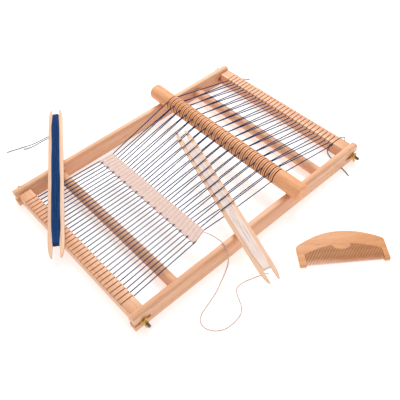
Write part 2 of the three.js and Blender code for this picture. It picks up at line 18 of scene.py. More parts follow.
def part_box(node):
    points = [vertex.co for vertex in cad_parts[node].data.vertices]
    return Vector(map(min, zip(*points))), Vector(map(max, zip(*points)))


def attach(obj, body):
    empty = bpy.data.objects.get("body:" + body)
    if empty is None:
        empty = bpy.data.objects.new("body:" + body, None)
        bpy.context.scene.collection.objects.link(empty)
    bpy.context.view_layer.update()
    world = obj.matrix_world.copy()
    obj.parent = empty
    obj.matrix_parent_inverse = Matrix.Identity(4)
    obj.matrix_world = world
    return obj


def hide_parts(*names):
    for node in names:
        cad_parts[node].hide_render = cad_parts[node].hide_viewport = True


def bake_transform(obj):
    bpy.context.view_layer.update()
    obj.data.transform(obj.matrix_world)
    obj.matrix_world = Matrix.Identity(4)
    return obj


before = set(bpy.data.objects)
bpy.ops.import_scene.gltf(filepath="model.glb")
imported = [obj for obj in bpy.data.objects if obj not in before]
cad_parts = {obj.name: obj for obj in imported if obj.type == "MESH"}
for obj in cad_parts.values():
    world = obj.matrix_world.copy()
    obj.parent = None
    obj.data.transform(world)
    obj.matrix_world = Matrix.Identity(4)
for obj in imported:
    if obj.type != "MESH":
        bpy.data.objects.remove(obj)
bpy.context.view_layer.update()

# %% [markdown]
# ## Millimetres about the middle of the loom
#
# A maker measures a loom in millimetres from its middle, and a cut or a bevel works best
# at that size too. So each piece is shaped in millimetres, about the point midway
# between the rails at table height, and its mesh is then scaled and moved to the frame.
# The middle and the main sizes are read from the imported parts.

# %% Measure the loom
rail_low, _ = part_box("left_rail")
right_rail_low, rail_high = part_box("right_rail")
middle = (rail_low + rail_high) / 2
middle.z = 0
to_frame = Matrix.Translation(middle) @ Matrix.Scale(0.001, 4)
to_loom = to_frame.inverted()


def measured(node):
    """The lowest and highest corners of a part, in millimetres about the middle."""
    low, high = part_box(node)
    return to_loom @ low, to_loom @ high


def in_frame(point):
    """A place in millimetres about the middle, as a point of the frame, in metres."""
    return to_frame @ Vector(point)


rail_inner_low, rail_outer_high = measured("right_rail")
rail_inside = rail_inner_low.x
rail_outside = rail_outer_high.x
rail_top = rail_outer_high.z
rail_end = rail_outer_high.y
axis_height = (measured("front_cross_bar")[0].z + measured("front_cross_bar")[1].z) / 2
print("half width, height, half length:", rail_outside, rail_top, rail_end)

# %% [markdown]
# ## The camera
#
# The loom is seen from the front right, from well above, with the camera leaning a
# little to one side. Its three axes are worked out from those angles.

# %% Place the camera
azimuth, elevation, lean = (math.radians(a) for a in (50.80, 49.10, -3.91))
distance = 845.4
looks_at = Vector((45.09, -16.30, 0))

back = Vector(
    (math.sin(azimuth) * math.cos(elevation), -math.cos(azimuth) * math.cos(elevation), math.sin(elevation))
)
level = Vector((math.cos(azimuth), math.sin(azimuth), 0))
upright = back.cross(level)
camera_x = math.cos(lean) * level + math.sin(lean) * upright
camera_y = -math.sin(lean) * level + math.cos(lean) * upright

camera_data = bpy.data.cameras.new("camera")
camera_data.lens = 49.39
camera_data.sensor_width = 36
camera_data.clip_start = 0.01
camera = bpy.data.objects.new("camera", camera_data)
bpy.context.scene.collection.objects.link(camera)
camera.matrix_world = (
    Matrix.Translation(in_frame(looks_at + back * distance))
    @ Matrix((camera_x, camera_y, back)).transposed().to_4x4()
)
bpy.context.scene.camera = camera
print("camera at", tuple(round(v, 3) for v in camera.location))

# %% [markdown]
# ## Nodes for finishes
#
# One helper adds any node, with its settings and what goes into its sockets: a plain
# value, or another node's output. Colours are written as sRGB hex values, as a paint
# chart gives them, and are turned to the linear values that light adds up in.

# %% Make the helpers for materials
def linear(hex_colour):
    """A colour such as "e8be9a" as linear red, green, blue and alpha."""
    channels = [int(hex_colour[k : k + 2], 16) / 255 for k in (0, 2, 4)]
    lit = [c / 12.92 if c <= 0.04045 else ((c + 0.055) / 1.055) ** 2.4 for c in channels]
    return (*lit, 1)


def add_node(tree, kind, settings=None, **sockets):
    """Adds a node. A socket is named in lower case, or by its number after an s."""
    made = tree.nodes.new(kind)
    for name, value in (settings or {}).items():
        setattr(made, name, value)
    for name, value in sockets.items():
        if name[0] == "s" and name[1:].isdigit():
            socket = made.inputs[int(name[1:])]
        else:
            socket = next(s for s in made.inputs if s.name.lower().replace(" ", "_") == name)
        if isinstance(value, bpy.types.NodeSocket):
            tree.links.new(value, socket)
        else:
            socket.default_value = value
    return made


def new_finish(name, **sockets):
    """An empty material and its shader, with the constant values set on the shader."""
    material = bpy.data.materials.new(name)
    material.use_nodes = True
    tree = material.node_tree
    tree.nodes.clear()
    shader = add_node(tree, "ShaderNodeBsdfPrincipled", **sockets)
    add_node(tree, "ShaderNodeOutputMaterial", surface=shader.outputs["BSDF"])
    return material, tree, shader


# %% [markdown]
# ## Twisted yarn
#
# Yarn is plied: two strands are twisted round each other, so a thread looks like a thin
# rope, with a groove that winds along it. Each yarn's UV map runs in millimetres along it
# and once round it, so a stripe that climbs by one turn in each twist follows the plies:
# the groove is painted shade and the crown of each ply is painted light.
# A real twist repeats every 1.5 mm, which is too fine to show, so it's drawn at 2.5 mm.

# %% Make the yarn finishes
TWIST = 2.5
PLIES = 2


def plied_yarn(name, groove, lit, sheen):
    """Cotton yarn with painted shade in its grooves and painted light on the crowns of its plies."""
    material, tree, shader = new_finish(
        name, roughness=0.78, specular_ior_level=0.2, sheen_weight=sheen, sheen_roughness=0.5
    )
    uv = add_node(tree, "ShaderNodeUVMap", {"uv_map": "UVMap"})
    parts = add_node(tree, "ShaderNodeSeparateXYZ", vector=uv.outputs["UV"])
    along = add_node(
        tree, "ShaderNodeMath", {"operation": "MULTIPLY"}, s0=parts.outputs["X"], s1=PLIES / TWIST
    )
    turned = add_node(
        tree,
        "ShaderNodeMath",
        {"operation": "MULTIPLY_ADD"},
        s0=parts.outputs["Y"],
        s1=float(PLIES),
        s2=along.outputs[0],
    )
    crown = add_node(
        tree, "ShaderNodeMath", {"operation": "PINGPONG"}, s0=turned.outputs[0], s1=0.5
    )
    place = add_node(tree, "ShaderNodeTexCoord")
    fibres = add_node(
        tree, "ShaderNodeTexNoise", vector=place.outputs["Object"], scale=420.0, detail=3.0
    )
    fibre_tone_and_ply_shade = add_node(
        tree,
        "ShaderNodeMath",
        {"operation": "MULTIPLY_ADD"},
        s0=fibres.outputs["Factor"] if "Factor" in fibres.outputs else fibres.outputs["Fac"],
        s1=0.7,
        s2=crown.outputs[0],
    )
    strength = add_node(
        tree, "ShaderNodeMapRange", value=fibre_tone_and_ply_shade.outputs[0], from_min=0.15, from_max=0.95
    )
    # Painted shade in the ply grooves and painted light on their crowns, mixed with a random fibre tone.
    colour = add_node(
        tree,
        "ShaderNodeMix",
        {"data_type": "RGBA"},
        s0=strength.outputs["Result"],
        s6=linear(groove),
        s7=linear(lit),
    )
    relief = add_node(
        tree, "ShaderNodeBump", strength=0.5, distance=0.0002, height=crown.outputs[0]
    )
    tree.links.new(colour.outputs[2], shader.inputs["Base Color"])
    tree.links.new(relief.outputs["Normal"], shader.inputs["Normal"])
    return material


# Navy cotton: painted light of a deep clear blue on the crowns of its plies, and painted shade nearly black between
# them.
navy_cotton = plied_yarn("plied_cotton_navy", "03132e", "0d407c", 0.0)
# Its loose ends lie against white paper, where so fine a thread shows only if it is dark.
loose_navy_cotton = plied_yarn("loose_cotton_navy", "010a1c", "072a56", 0.0)
# The same cotton wound thick, with brighter painted light on the crowns of its turns.
wound_navy_cotton = plied_yarn("wound_cotton_navy", "03142f", "175192", 0.0)
# Natural cotton: warm, pale and matt, with a soft painted shade between its plies.
cream_cotton = plied_yarn("plied_cotton_cream", "c49c8c", "e8cbbf", 0.1)
# Wound flat, its turns lie close, and the painted shade in their hollows is kept faint.
wound_cream_cotton = plied_yarn("wound_cotton_cream", "ecd2c6", "fbeee6", 0.1)
print("yarn finishes:", navy_cotton.name, cream_cotton.name)

# %% [markdown]
# ## Free yarn ends
#
# Five yarn ends lie loose. Each follows a route of points: it leaves the weave, a beam or
# a shuttle, drops under its own weight, and lies on the table in an easy curve. Real
# twisted plies catch the light along their edges, so these ends are swept with a two-lobed
# section that turns as it goes, not with a plain round one.

# %% Make the helper that turns a line of points into yarn
YARN_RADIUS = 0.6
LOOSE_RADIUS = 0.8  # yarn swells a little where nothing presses on it


def smooth_route(points, step):
    """A smooth line through the points, with a new point about every step millimetres."""
    points = [Vector(p) for p in points]
    guides = [2 * points[0] - points[1], *points, 2 * points[-1] - points[-2]]
    line = []
    for a, b, c, d in zip(guides, guides[1:], guides[2:], guides[3:]):
        ab, bc, cd = (math.sqrt(span.length) for span in (b - a, c - b, d - c))
        leaving = (b - a) * (bc / ab) - (c - a) * (bc / (ab + bc)) + (c - b)
        arriving = (c - b) - (d - b) * (bc / (bc + cd)) + (d - c) * (bc / cd)
        count = max(2, round((c - b).length / step)) + 1
        line += interpolate_bezier(b, b + leaving / 3, c - arriving / 3, c, count)[:-1]
    return [*line, points[-1]]


def lobed_section():
    """The outline of two plies side by side, as a closed curve."""
    data = bpy.data.curves.new("section", "CURVE")
    corners = 10
    spline = data.splines.new("POLY")
    spline.points.add(corners - 1)
    for k, point in enumerate(spline.points):
        angle = 2 * math.pi * k / corners
        reach = LOOSE_RADIUS * (0.9 + 0.1 * math.cos(PLIES * angle))
        point.co = (reach * math.cos(angle), reach * math.sin(angle), 0, 1)
    spline.use_cyclic_u = True
    section = bpy.data.objects.new("section", data)
    bpy.context.scene.collection.objects.link(section)
    return section


def add_yarn(shape, line, twisted=False, closed=False, radius=LOOSE_RADIUS):
    """Adds to a bmesh a yarn along a line, with its UV map in millimetres along it."""
    data = bpy.data.curves.new("yarn", "CURVE")
    data.dimensions = "3D"
    data.use_fill_caps = not closed
    spline = data.splines.new("POLY")
    spline.points.add(len(line) - 1)
    run = 0.0
    for k, (point, place) in enumerate(zip(spline.points, line)):
        run += (place - line[k - 1]).length if k else 0
        point.co = (*place, 1)
        point.tilt = 2 * math.pi * run / (TWIST * PLIES) if twisted else 0
    spline.use_cyclic_u = closed
    section = lobed_section() if twisted else None
    if twisted:
        data.bevel_mode = "OBJECT"
        data.bevel_object = section
    else:
        data.bevel_depth = radius
        data.bevel_resolution = 1
    holder = bpy.data.objects.new("yarn", data)
    bpy.context.scene.collection.objects.link(holder)
    graph = bpy.context.evaluated_depsgraph_get()
    swept = bpy.data.meshes.new_from_object(holder.evaluated_get(graph))
    stretch = swept.uv_layers[0].data
    for corner in stretch:
        corner.uv.x *= run
    shape.from_mesh(swept)
    bpy.data.meshes.remove(swept)
    bpy.data.objects.remove(holder)
    if section:
        bpy.data.objects.remove(section)
    return run


def mesh_of(name, shape, merge=True):
    """The finished mesh of a bmesh, with its doubles merged and its faces outwards."""
    if merge:
        bmesh.ops.remove_doubles(shape, verts=shape.verts, dist=1e-4)
    bmesh.ops.recalc_face_normals(shape, faces=shape.faces)
    mesh = bpy.data.meshes.new(name)
    shape.to_mesh(mesh)
    shape.free()
    return mesh


def lay_piece(name, mesh, finish, nodes, body=None, sharp=40):
    """Moves a mesh to the frame, smooths its shading and gives it its finish and place."""
    mesh.transform(to_frame)
    mesh.shade_smooth()
    mesh.set_sharp_from_angle(angle=math.radians(sharp))
    mesh.materials.clear()
    mesh.materials.append(finish)
    mesh.name = name
    piece = bpy.data.objects.new(name, mesh)
    bpy.context.scene.collection.objects.link(piece)
    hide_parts(*nodes)
    if body:
        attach(piece, body)
    print(name, "faces:", len(mesh.polygons))
    return piece


# %% Lay the weft's loose end
ON_TABLE = 1.05
weft_tail_route = [
    (114.6, -69.5, 32.6),
    (122, -66.3, 31.6),
    (132, -63.4, 30.3),
    (142, -62.2, 29.5),
    (150, -63.4, 29.3),
    (155.5, -64.4, 26.5),
    (157.4, -64.8, 19),
    (157.6, -64.8, 10),
    (158.6, -65.6, 3.2),
    (161.5, -69.5, ON_TABLE),
    (168.6, -81.8, ON_TABLE),
    (175.5, -96.5, ON_TABLE),
    (181.6, -110, ON_TABLE),
    (186.2, -124.5, ON_TABLE),
    (190, -138.1, ON_TABLE),
    (193, -147.5, ON_TABLE),
    (197.7, -153.9, ON_TABLE),
    (204, -157.4, ON_TABLE),
    (211, -157.3, ON_TABLE),
    (218.5, -154.2, ON_TABLE),
    (224.3, -149, ON_TABLE),
    (228.6, -142, ON_TABLE),
    (230.5, -133.9, ON_TABLE),
    (230.5, -122, ON_TABLE),
    (228.5, -112, ON_TABLE),
    (222.9, -103.6, ON_TABLE),
    (213, -97.4, ON_TABLE),
    (203.2, -92.6, ON_TABLE),
    (197.4, -87.5, ON_TABLE),
    (196, -80.6, 1.6),
    (199.5, -73, 6),
    (206, -67, 14),
    (213.5, -61.5, 22.8),
    (219.5, -56.6, 29.2),
    (222.9, -54.3, 31.6),
]


def lay_cord(name, route, finish, node, body=None, bends=None):
    """Sweeps a free yarn along its route and states its real length."""
    line = smooth_route(route, 0.5)
    for place in line:
        place.z = max(place.z, LOOSE_RADIUS)
    shape = bmesh.new()
    length = add_yarn(shape, line, twisted=True)
    cord = lay_piece(name, mesh_of(name, shape), finish, [node], body, sharp=60)
    if bends:
        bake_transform(cord)
    print(name, "is", round(length), "mm long")
    return cord


lay_cord(
    "weft_loose_end",
    weft_tail_route,
    cream_cotton,
    "weft_tail",
    bends=("root", "cream_shuttle", (199, -79, 1), (222.9, -54.3, 1)),
)

# %% Lay the two ends of the navy shuttle's yarn
navy_tail_route = [
    (-210.2, -115, 32.4),
    (-212.4, -119.6, 31.6),
    (-217.3, -125, 27.8),
    (-225.5, -129.9, 21),
    (-235, -134.3, 13),
    (-243.5, -139, 6.2),
    (-249.6, -144.4, 2.4),
    (-253.6, -150.2, ON_TABLE),
    (-255.6, -155.5, ON_TABLE),
    (-257.5, -162.3, ON_TABLE),
    (-259.7, -168.7, ON_TABLE),
    (-262, -175.2, ON_TABLE),
    (-263.1, -180.4, ON_TABLE),
]
navy_short_tail_route = [
    (-206.4, -117.4, 32.2),
    (-208.8, -121.8, 31.4),
    (-213.9, -127.1, 27.6),
    (-221.9, -132.1, 20.8),
    (-231, -137, 12.8),
    (-238.5, -142.1, 6.2),
    (-244, -147, 2.4),
    (-247.6, -151.6, ON_TABLE),
    (-250, -155.8, ON_TABLE),
]
for name, route, node in (
    ("navy_loose_end", navy_tail_route, "navy_tail"),
    ("navy_short_loose_end", navy_short_tail_route, "navy_short_tail"),
):
    lay_cord(name, route, loose_navy_cotton, node, body="navy_shuttle")

# %% [markdown]
# ## Where the warp runs
#
# The warp is one long yarn that goes to and fro between the two beams and turns round
# every second tooth of each. Its height and spacing are needed by the loose ends, the
# band and the threads, so they are worked out here, from the beams, the roller and the
# rails.

# %% Work out the lie of the warp
GAP = 0.3
WARP_RADIUS = 0.84  # drawn a little thicker than it is, so that fine dark threads show
WARP_ENDS = 32
WARP_PITCH = 7.75
SAW_SLOT_DEPTH = 4.5
FLOOR_RADIUS = 5.2
FLOOR_OFFSET = 4.4

front_low, front_high = measured("front_beam")
rear_low, rear_high = measured("rear_beam")
beam_top = front_high.z
slot_yarn_z = beam_top - SAW_SLOT_DEPTH + GAP + YARN_RADIUS
roller_low, roller_high = measured("heddle_roller")
roller_radius = (roller_high.z - roller_low.z) / 2
roller_y = (roller_low.y + roller_high.y) / 2
roller_z = (roller_low.z + roller_high.z) / 2
floor_yarn = FLOOR_RADIUS + GAP + YARN_RADIUS
warp_slope = (roller_z + floor_yarn - slot_yarn_z) / (roller_y - front_high.y)


def slot_x(i):
    """The place across the loom of warp end i, counted from the left."""
    return (i - (WARP_ENDS - 1) / 2) * WARP_PITCH


def warp_height(y):
    """The height of the middle of the shed."""
    return slot_yarn_z + warp_slope * (y - front_high.y)


print("the warp climbs from", slot_yarn_z, "to", round(warp_height(roller_y), 1))

# %% Lay the warp yarn's two ends
tail_y = rear_high.y + GAP + YARN_RADIUS
first_x, last_x = slot_x(0), slot_x(WARP_ENDS - 1)
left_tail_route = [
    (first_x, tail_y + GAP, slot_yarn_z),
    (first_x - 0.5, tail_y + 2.8, slot_yarn_z - 0.8),
    (-121.8, tail_y + 5.2, 14.6),
    (-123.6, 232.6, 8.4),
    (-125, 235.6, 3),
    (-125.3, 239.4, ON_TABLE),
    (-122.6, 243.4, ON_TABLE),
    (-118.6, 246.8, ON_TABLE),
    (-114.6, 249.4, ON_TABLE),
    (-111.4, 252, ON_TABLE),
]
second_strand = slot_yarn_z + 2 * YARN_RADIUS + GAP
right_tail_route = [
    (last_x, tail_y + GAP, slot_yarn_z),
    (last_x + 0.3, tail_y + 2.4, slot_yarn_z + 0.8),
    (121.8, tail_y + 4.9, 20.4),
    (125.2, tail_y + 4.6, 20.8),
    (127.2, tail_y + 2.4, 18.6),
    (127, tail_y + 1.4, 14.4),
    (124.8, tail_y + 1.7, 11.6),
    (121.8, tail_y + 2.2, 12.2),
    (119.4, tail_y + 2.6, 15.4),
    (118.6, tail_y + 2.3, 18.6),
    (119.4, tail_y + 1.2, 20.8),
    (last_x, 224.4, second_strand),
    (last_x, 218, second_strand),
    (last_x, 211, second_strand),
    (last_x, 206, second_strand),
    (119.7, 204, 20.8),
    (118.5, 202.5, 20.6),
    (117.4, 201.5, 18.2),
    (116.7, 200.9, 12.8),
    (116, 200.8, 7.4),
    (116.1, 200.8, 3.6),
    (118, 200, ON_TABLE + 0.3),
    (121.8, 198.2, ON_TABLE),
    (126.8, 196.2, ON_TABLE),
    (132.3, 194.6, ON_TABLE),
    (137, 193.2, ON_TABLE),
    (142, 192, ON_TABLE),
    (147.5, 190.9, ON_TABLE),
    (153.5, 189.9, ON_TABLE),
    (159, 188.7, ON_TABLE),
    (164, 187.3, ON_TABLE),
    (168, 185.7, ON_TABLE),
    (171.9, 184.4, ON_TABLE),
]
lay_cord(
    "warp_left_end",
    left_tail_route,
    loose_navy_cotton,
    "rear_left_tail",
    body="rear_beam",
)
# Below the beam the yarn lies still on the table.
lay_cord(
    "warp_right_end",
    right_tail_route,
    loose_navy_cotton,
    "rear_right_tail",
    bends=("root", "rear_beam", (116, 200.8, 2), (116, 200.8, 15)),
)

# %% [markdown]
# ## Beech and pearwood
#
# Beech is pale and pinkish, with faint growth bands and many short brown flecks that run
# with the grain. The pieces are only sanded, so they are satin, not glossy. The grain
# runs along each piece, so each material stretches its pattern along one direction: the
# Mapping node makes the pattern coarse along the grain and fine across it. A real fleck
# is 0.3 mm wide and 3 mm long, and it's drawn about twice that so that it shows.

# %% Make the wood finishes
ALONG = 1 / 0.012
ACROSS = 1 / 0.0011
BANDS_ALONG = 1 / 0.16
BANDS_ACROSS = 1 / 0.009


def sanded_wood(name, direction, pale, warm, fleck, roughness=0.5, turn=0.0, painted_cut_shade=None):
    """Fine-grained wood whose grain runs along a direction, 0 for X or 1 for Y.

    Cuts in a round piece can be darkened with painted shade: the last argument gives the
    middle of its axis, its radius, half the length that is cut, and the shade's colour.
    """
    material, tree, shader = new_finish(name, specular_ior_level=0.5)
    place = add_node(tree, "ShaderNodeTexCoord")
    fine = [ACROSS] * 3
    broad = [BANDS_ACROSS] * 3
    fine[direction] = ALONG
    broad[direction] = BANDS_ALONG
    unturned = add_node(
        tree,
        "ShaderNodeMapping",
        {"vector_type": "TEXTURE"},
        vector=place.outputs["Object"],
        rotation=(0, 0, turn),
    )
    to_flecks = add_node(tree, "ShaderNodeMapping", vector=unturned.outputs[0], scale=fine)
    to_bands = add_node(tree, "ShaderNodeMapping", vector=unturned.outputs[0], scale=broad)
    flecks = add_node(
        tree, "ShaderNodeTexNoise", vector=to_flecks.outputs[0], scale=1.0, detail=2.0
    )
    bands = add_node(
        tree, "ShaderNodeTexNoise", vector=to_bands.outputs[0], scale=1.0, detail=4.0, distortion=0.6
    )
    band_strength = add_node(
        tree, "ShaderNodeMapRange", value=bands.outputs[0], from_min=0.35, from_max=0.65
    )
    fleck_strength = add_node(
        tree,
        "ShaderNodeMapRange",
        value=flecks.outputs[0],
        from_min=0.56,
        from_max=0.74,
        to_max=0.55,
    )
    banded = add_node(
        tree,
        "ShaderNodeMix",
        {"data_type": "RGBA"},
        s0=band_strength.outputs["Result"],
        s6=linear(pale),
        s7=linear(warm),
    )
    flecked = add_node(
        tree,
        "ShaderNodeMix",
        {"data_type": "RGBA"},
        s0=fleck_strength.outputs["Result"],
        s6=banded.outputs[2],
        s7=linear(fleck),
    )
    satin = add_node(
        tree,
        "ShaderNodeMapRange",
        value=bands.outputs[0],
        to_min=roughness - 0.06,
        to_max=roughness + 0.08,
    )
    relief = add_node(
        tree, "ShaderNodeBump", {"invert": True}, strength=0.25, distance=0.0002, height=flecks.outputs[0]
    )
    surface = flecked
    if painted_cut_shade:
        axis, radius, half_length, shade = painted_cut_shade
        # Painted shade: the colour darkens below the roller's surface, in its slots and rings.
        from_axis = add_node(
            tree, "ShaderNodeVectorMath", {"operation": "SUBTRACT"}, s0=place.outputs["Object"], s1=axis
        )
        outwards = add_node(
            tree,
            "ShaderNodeVectorMath",
            {"operation": "MULTIPLY"},
            s0=from_axis.outputs[0],
            s1=(0.0, 1.0, 1.0),
        )
        reach = add_node(tree, "ShaderNodeVectorMath", {"operation": "LENGTH"}, s0=outwards.outputs[0])
        depth = add_node(
            tree,
            "ShaderNodeMapRange",
            value=reach.outputs["Value"],
            from_min=radius - 0.0009,
            from_max=radius - 0.0002,
            to_min=1.0,
            to_max=0.0,
        )
        # Only the stretch with the cuts gets the painted shade, and not the sanded ends.
        parts = add_node(tree, "ShaderNodeSeparateXYZ", vector=from_axis.outputs[0])
        sideways = add_node(tree, "ShaderNodeMath", {"operation": "ABSOLUTE"}, s0=parts.outputs["X"])
        cut_here = add_node(
            tree, "ShaderNodeMath", {"operation": "LESS_THAN"}, s0=sideways.outputs[0], s1=half_length
        )
        shaded = add_node(
            tree,
            "ShaderNodeMath",
            {"operation": "MULTIPLY"},
            s0=depth.outputs["Result"],
            s1=cut_here.outputs[0],
        )
        surface = add_node(
            tree,
            "ShaderNodeMix",
            {"data_type": "RGBA"},
            s0=shaded.outputs[0],
            s6=flecked.outputs[2],
            s7=linear(shade),
        )
    tree.links.new(surface.outputs[2], shader.inputs["Base Color"])
    tree.links.new(satin.outputs["Result"], shader.inputs["Roughness"])
    tree.links.new(relief.outputs["Normal"], shader.inputs["Normal"])
    return material


# Steamed beech turns a warm pinkish tan, and its flecks are a clear brown.
beech_along = sanded_wood("sanded_beech_rails", 1, "edbb95", "e0a47c", "bc7c54", 0.42)
beech_across = sanded_wood("sanded_beech_bars", 0, "edbb95", "e0a47c", "bc7c54", 0.42)
# The roller is of the same beech, turned on a lathe, so it is a little deeper in colour.
# Its slots and rings get painted shade, darkest below the surface, so they read as fine dark lines.
roller_axis = in_frame((0, roller_y, roller_z))
beech_turned = sanded_wood(
    "turned_beech",
    0,
    "f4b483",
    "e69c66",
    "b87346",
    painted_cut_shade=(roller_axis, roller_radius / 1000, (slot_x(WARP_ENDS - 1) + 2) / 1000, "8c5230"),
)
print("wood finishes:", beech_along.name, beech_across.name, beech_turned.name)

# %% [markdown]
# ## Cutting and softening wood
#
# A joiner saws, drills, and then takes the sharp edges off with sandpaper. The helper
# below does the same: Boolean modifiers take the cutters' shapes out of the blank, and a
# Bevel modifier then rounds what is still sharp.

# %% Make the helpers for cutting
def axes_at(origin, x, y, z):
    """The matrix that lays a shape's own axes along x, y and z, with its origin there."""
    return Matrix.Translation(origin) @ Matrix((x, y, z)).transposed().to_4x4()


X, Y, Z = Vector((1, 0, 0)), Vector((0, 1, 0)), Vector((0, 0, 1))
along_x = Matrix((Y, Z, X)).transposed().to_4x4()


def add_block(shape, low, high):
    """Adds a box from its lowest to its highest corner."""
    low, high = Vector(low), Vector(high)
    size = Matrix.Diagonal((*(high - low), 1))
    return bmesh.ops.create_cube(shape, size=1, matrix=Matrix.Translation((low + high) / 2) @ size)["verts"]


def add_rod(shape, radius, start, end, y, z, segments=48):
    """Adds a round rod along X, from start to end."""
    place = Matrix.Translation(((start + end) / 2, y, z)) @ along_x
    return bmesh.ops.create_cone(
        shape,
        cap_ends=True,
        segments=segments,
        radius1=radius,
        radius2=radius,
        depth=abs(end - start),
        matrix=place,
    )["verts"]


def add_open_hole(shape, radius, depth, reach, flare, place):
    """Adds a round hole whose x side is drawn out by reach, and widened by flare."""
    verts = bmesh.ops.create_cone(
        shape, cap_ends=True, segments=32, radius1=radius, radius2=radius, depth=depth
    )["verts"]
    for vert in verts:
        if vert.co.x > 1e-6:
            vert.co = (vert.co.x + reach, vert.co.y * flare, vert.co.z)
    bmesh.ops.transform(shape, verts=verts, matrix=place)


def carved(blank, cutters=(), added=(), soften=0.0, segments=2):
    """Cuts shapes out of a mesh, joins others to it, and rounds its sharp edges."""
    holder = bpy.data.objects.new("blank", blank)
    bpy.context.scene.collection.objects.link(holder)
    helpers = [holder]
    for operation, shapes in (("UNION", added), ("DIFFERENCE", cutters)):
        for shape in shapes:
            tool = bpy.data.objects.new("tool", mesh_of("tool", shape))
            bpy.context.scene.collection.objects.link(tool)
            helpers.append(tool)
            cut = holder.modifiers.new("cut", "BOOLEAN")
            cut.operation = operation
            cut.solver = "EXACT"
            cut.object = tool
    if soften:
        sanding = holder.modifiers.new("sanding", "BEVEL")
        sanding.width = soften
        sanding.segments = segments
        sanding.limit_method = "ANGLE"
        sanding.angle_limit = math.radians(40)
    graph = bpy.context.evaluated_depsgraph_get()
    result = bpy.data.meshes.new_from_object(holder.evaluated_get(graph))
    for helper in helpers:
        bpy.data.objects.remove(helper)
    return result


# %% [markdown]
# ## The side rails
#
# Each rail is a beech lath set on edge. Its two long top edges are well rounded, because
# the weaver's hands rest on them. An open slot at each end lets a beam's stud slide, so
# that the warp can be drawn tight, and a cross bar is glued into a hole in the inner face.

# %% Make the side rails
RAIL_ROUND = 4.6
STUD_RADIUS = 2.45
RAIL_SLOT = 26
CROSS_BAR_DEPTH = 8
TAIL_GROOVE_Y, TAIL_GROOVE_WIDTH, TAIL_GROOVE_HEIGHT = 191, 5.6, 2
cross_low, cross_high = measured("rear_cross_bar")
cross_bar_y = (cross_low.y + cross_high.y) / 2
cross_bar_radius = (cross_high.z - cross_low.z) / 2

for side, name in ((-1, "left_rail"), (1, "right_rail")):
    low, high = measured(name)
    shape = bmesh.new()
    add_block(shape, low, high)
    top_edges = [
        e
        for e in shape.edges
        if min(v.co.z for v in e.verts) > rail_top - 1 and abs(e.verts[0].co.y - e.verts[1].co.y) > rail_end
    ]
    bmesh.ops.bevel(
        shape,
        geom=top_edges,
        offset=RAIL_ROUND,
        offset_type="OFFSET",
        segments=7,
        profile=0.5,
        affect="EDGES",
        material=-1,
    )
    cutters = bmesh.new()
    slot_radius = STUD_RADIUS + GAP
    for end in (-1, 1):
        stop = Vector((side * (rail_inside + rail_outside) / 2, end * (rail_end - RAIL_SLOT + slot_radius), axis_height))
        outward = Y * end
        add_open_hole(cutters, slot_radius, 20, RAIL_SLOT + 2, 1, axes_at(stop, outward, Z, outward.cross(Z)))
        add_rod(
            cutters,
            cross_bar_radius + GAP,
            side * (rail_inside - 1),
            side * (rail_inside + CROSS_BAR_DEPTH),
            end * cross_bar_y,
            axis_height,
        )
    if side > 0:
        half = TAIL_GROOVE_WIDTH / 2
        add_block(
            cutters,
            (rail_inside - 1, TAIL_GROOVE_Y - half, -1),
            (rail_outside + 1, TAIL_GROOVE_Y + half, TAIL_GROOVE_HEIGHT),
        )
    wood = carved(mesh_of(name, shape), [cutters], soften=0.6, segments=3)
    lay_piece(f"{name}_beech", wood, beech_along, [name], "root")

# %% [markdown]
# ## The cross bars
#
# Two thick dowels hold the rails apart. They are lathe-turned rounds whose ends go into
# the rails, so a plain round bar with a small chamfer at each end is the real shape.

# %% Make the cross bars
for name in ("front_cross_bar", "rear_cross_bar"):
    low, high = measured(name)
    shape = bmesh.new()
    add_rod(shape, cross_bar_radius, low.x, high.x, (low.y + high.y) / 2, axis_height, 64)
    dowel = carved(mesh_of(name, shape), soften=0.6)
    lay_piece(f"{name}_beech", dowel, beech_across, [name], "root")

# %% [markdown]
# ## The slotted beams
#
# The beams carry the warp. Each is a square bar with its edges eased, and then a fine saw
# makes 32 slots across its top, one for each warp end. The saw comes after the sanding,
# so the slots' own edges stay crisp: the bar is bevelled first and cut second.

# %% Make the warp beams
BEAM_CHAMFER = 1.2
SAW_SLOT_WIDTH = 1.8
STUD_IN_BEAM = 24
TURN_GROOVE_DEPTH = 2.0
TURN_GROOVE_HEIGHT = 2.0

for end, outward in (("front", -1), ("rear", 1)):
    low, high = measured(f"{end}_beam")
    shape = bmesh.new()
    add_block(shape, low, high)
    bmesh.ops.bevel(
        shape,
        geom=shape.edges[:],
        offset=BEAM_CHAMFER,
        offset_type="OFFSET",
        segments=3,
        profile=0.5,
        affect="EDGES",
        material=-1,
    )
    slots = bmesh.new()
    for i in range(WARP_ENDS):
        half = SAW_SLOT_WIDTH / 2
        add_block(
            slots,
            (slot_x(i) - half, low.y - 1, high.z - SAW_SLOT_DEPTH),
            (slot_x(i) + half, high.y + 1, high.z + 1),
        )
    # The warp turns round the teeth in a groove along the outer face, sunk out of the way.
    groove = bmesh.new()
    face_y = low.y if outward < 0 else high.y
    groove_foot = high.z - SAW_SLOT_DEPTH
    groove_y = sorted((face_y + outward, face_y - outward * TURN_GROOVE_DEPTH))
    add_block(
        groove,
        (slot_x(0) - 1, groove_y[0], groove_foot),
        (slot_x(WARP_ENDS - 1) + 1, groove_y[1], groove_foot + TURN_GROOVE_HEIGHT),
    )
    beam_y = (low.y + high.y) / 2
    bores = bmesh.new()
    for side in (-1, 1):
        add_rod(bores, STUD_RADIUS + GAP, side * (high.x + 1), side * (high.x - STUD_IN_BEAM), beam_y, axis_height, 32)
    bar = carved(mesh_of(f"{end}_beam", shape), [slots, groove, bores])
    lay_piece(f"{end}_beam_beech", bar, beech_across, [f"{end}_beam"], f"{end}_beam")

# %% [markdown]
# ## Steel and brass
#
# The studs are zinc-plated steel and the nuts and washers are plain brass. Both metals
# are handled often: fingers leave them duller in some places than in others, so a slow
# noise moves the roughness up and down, and brass tarnishes a little browner there.

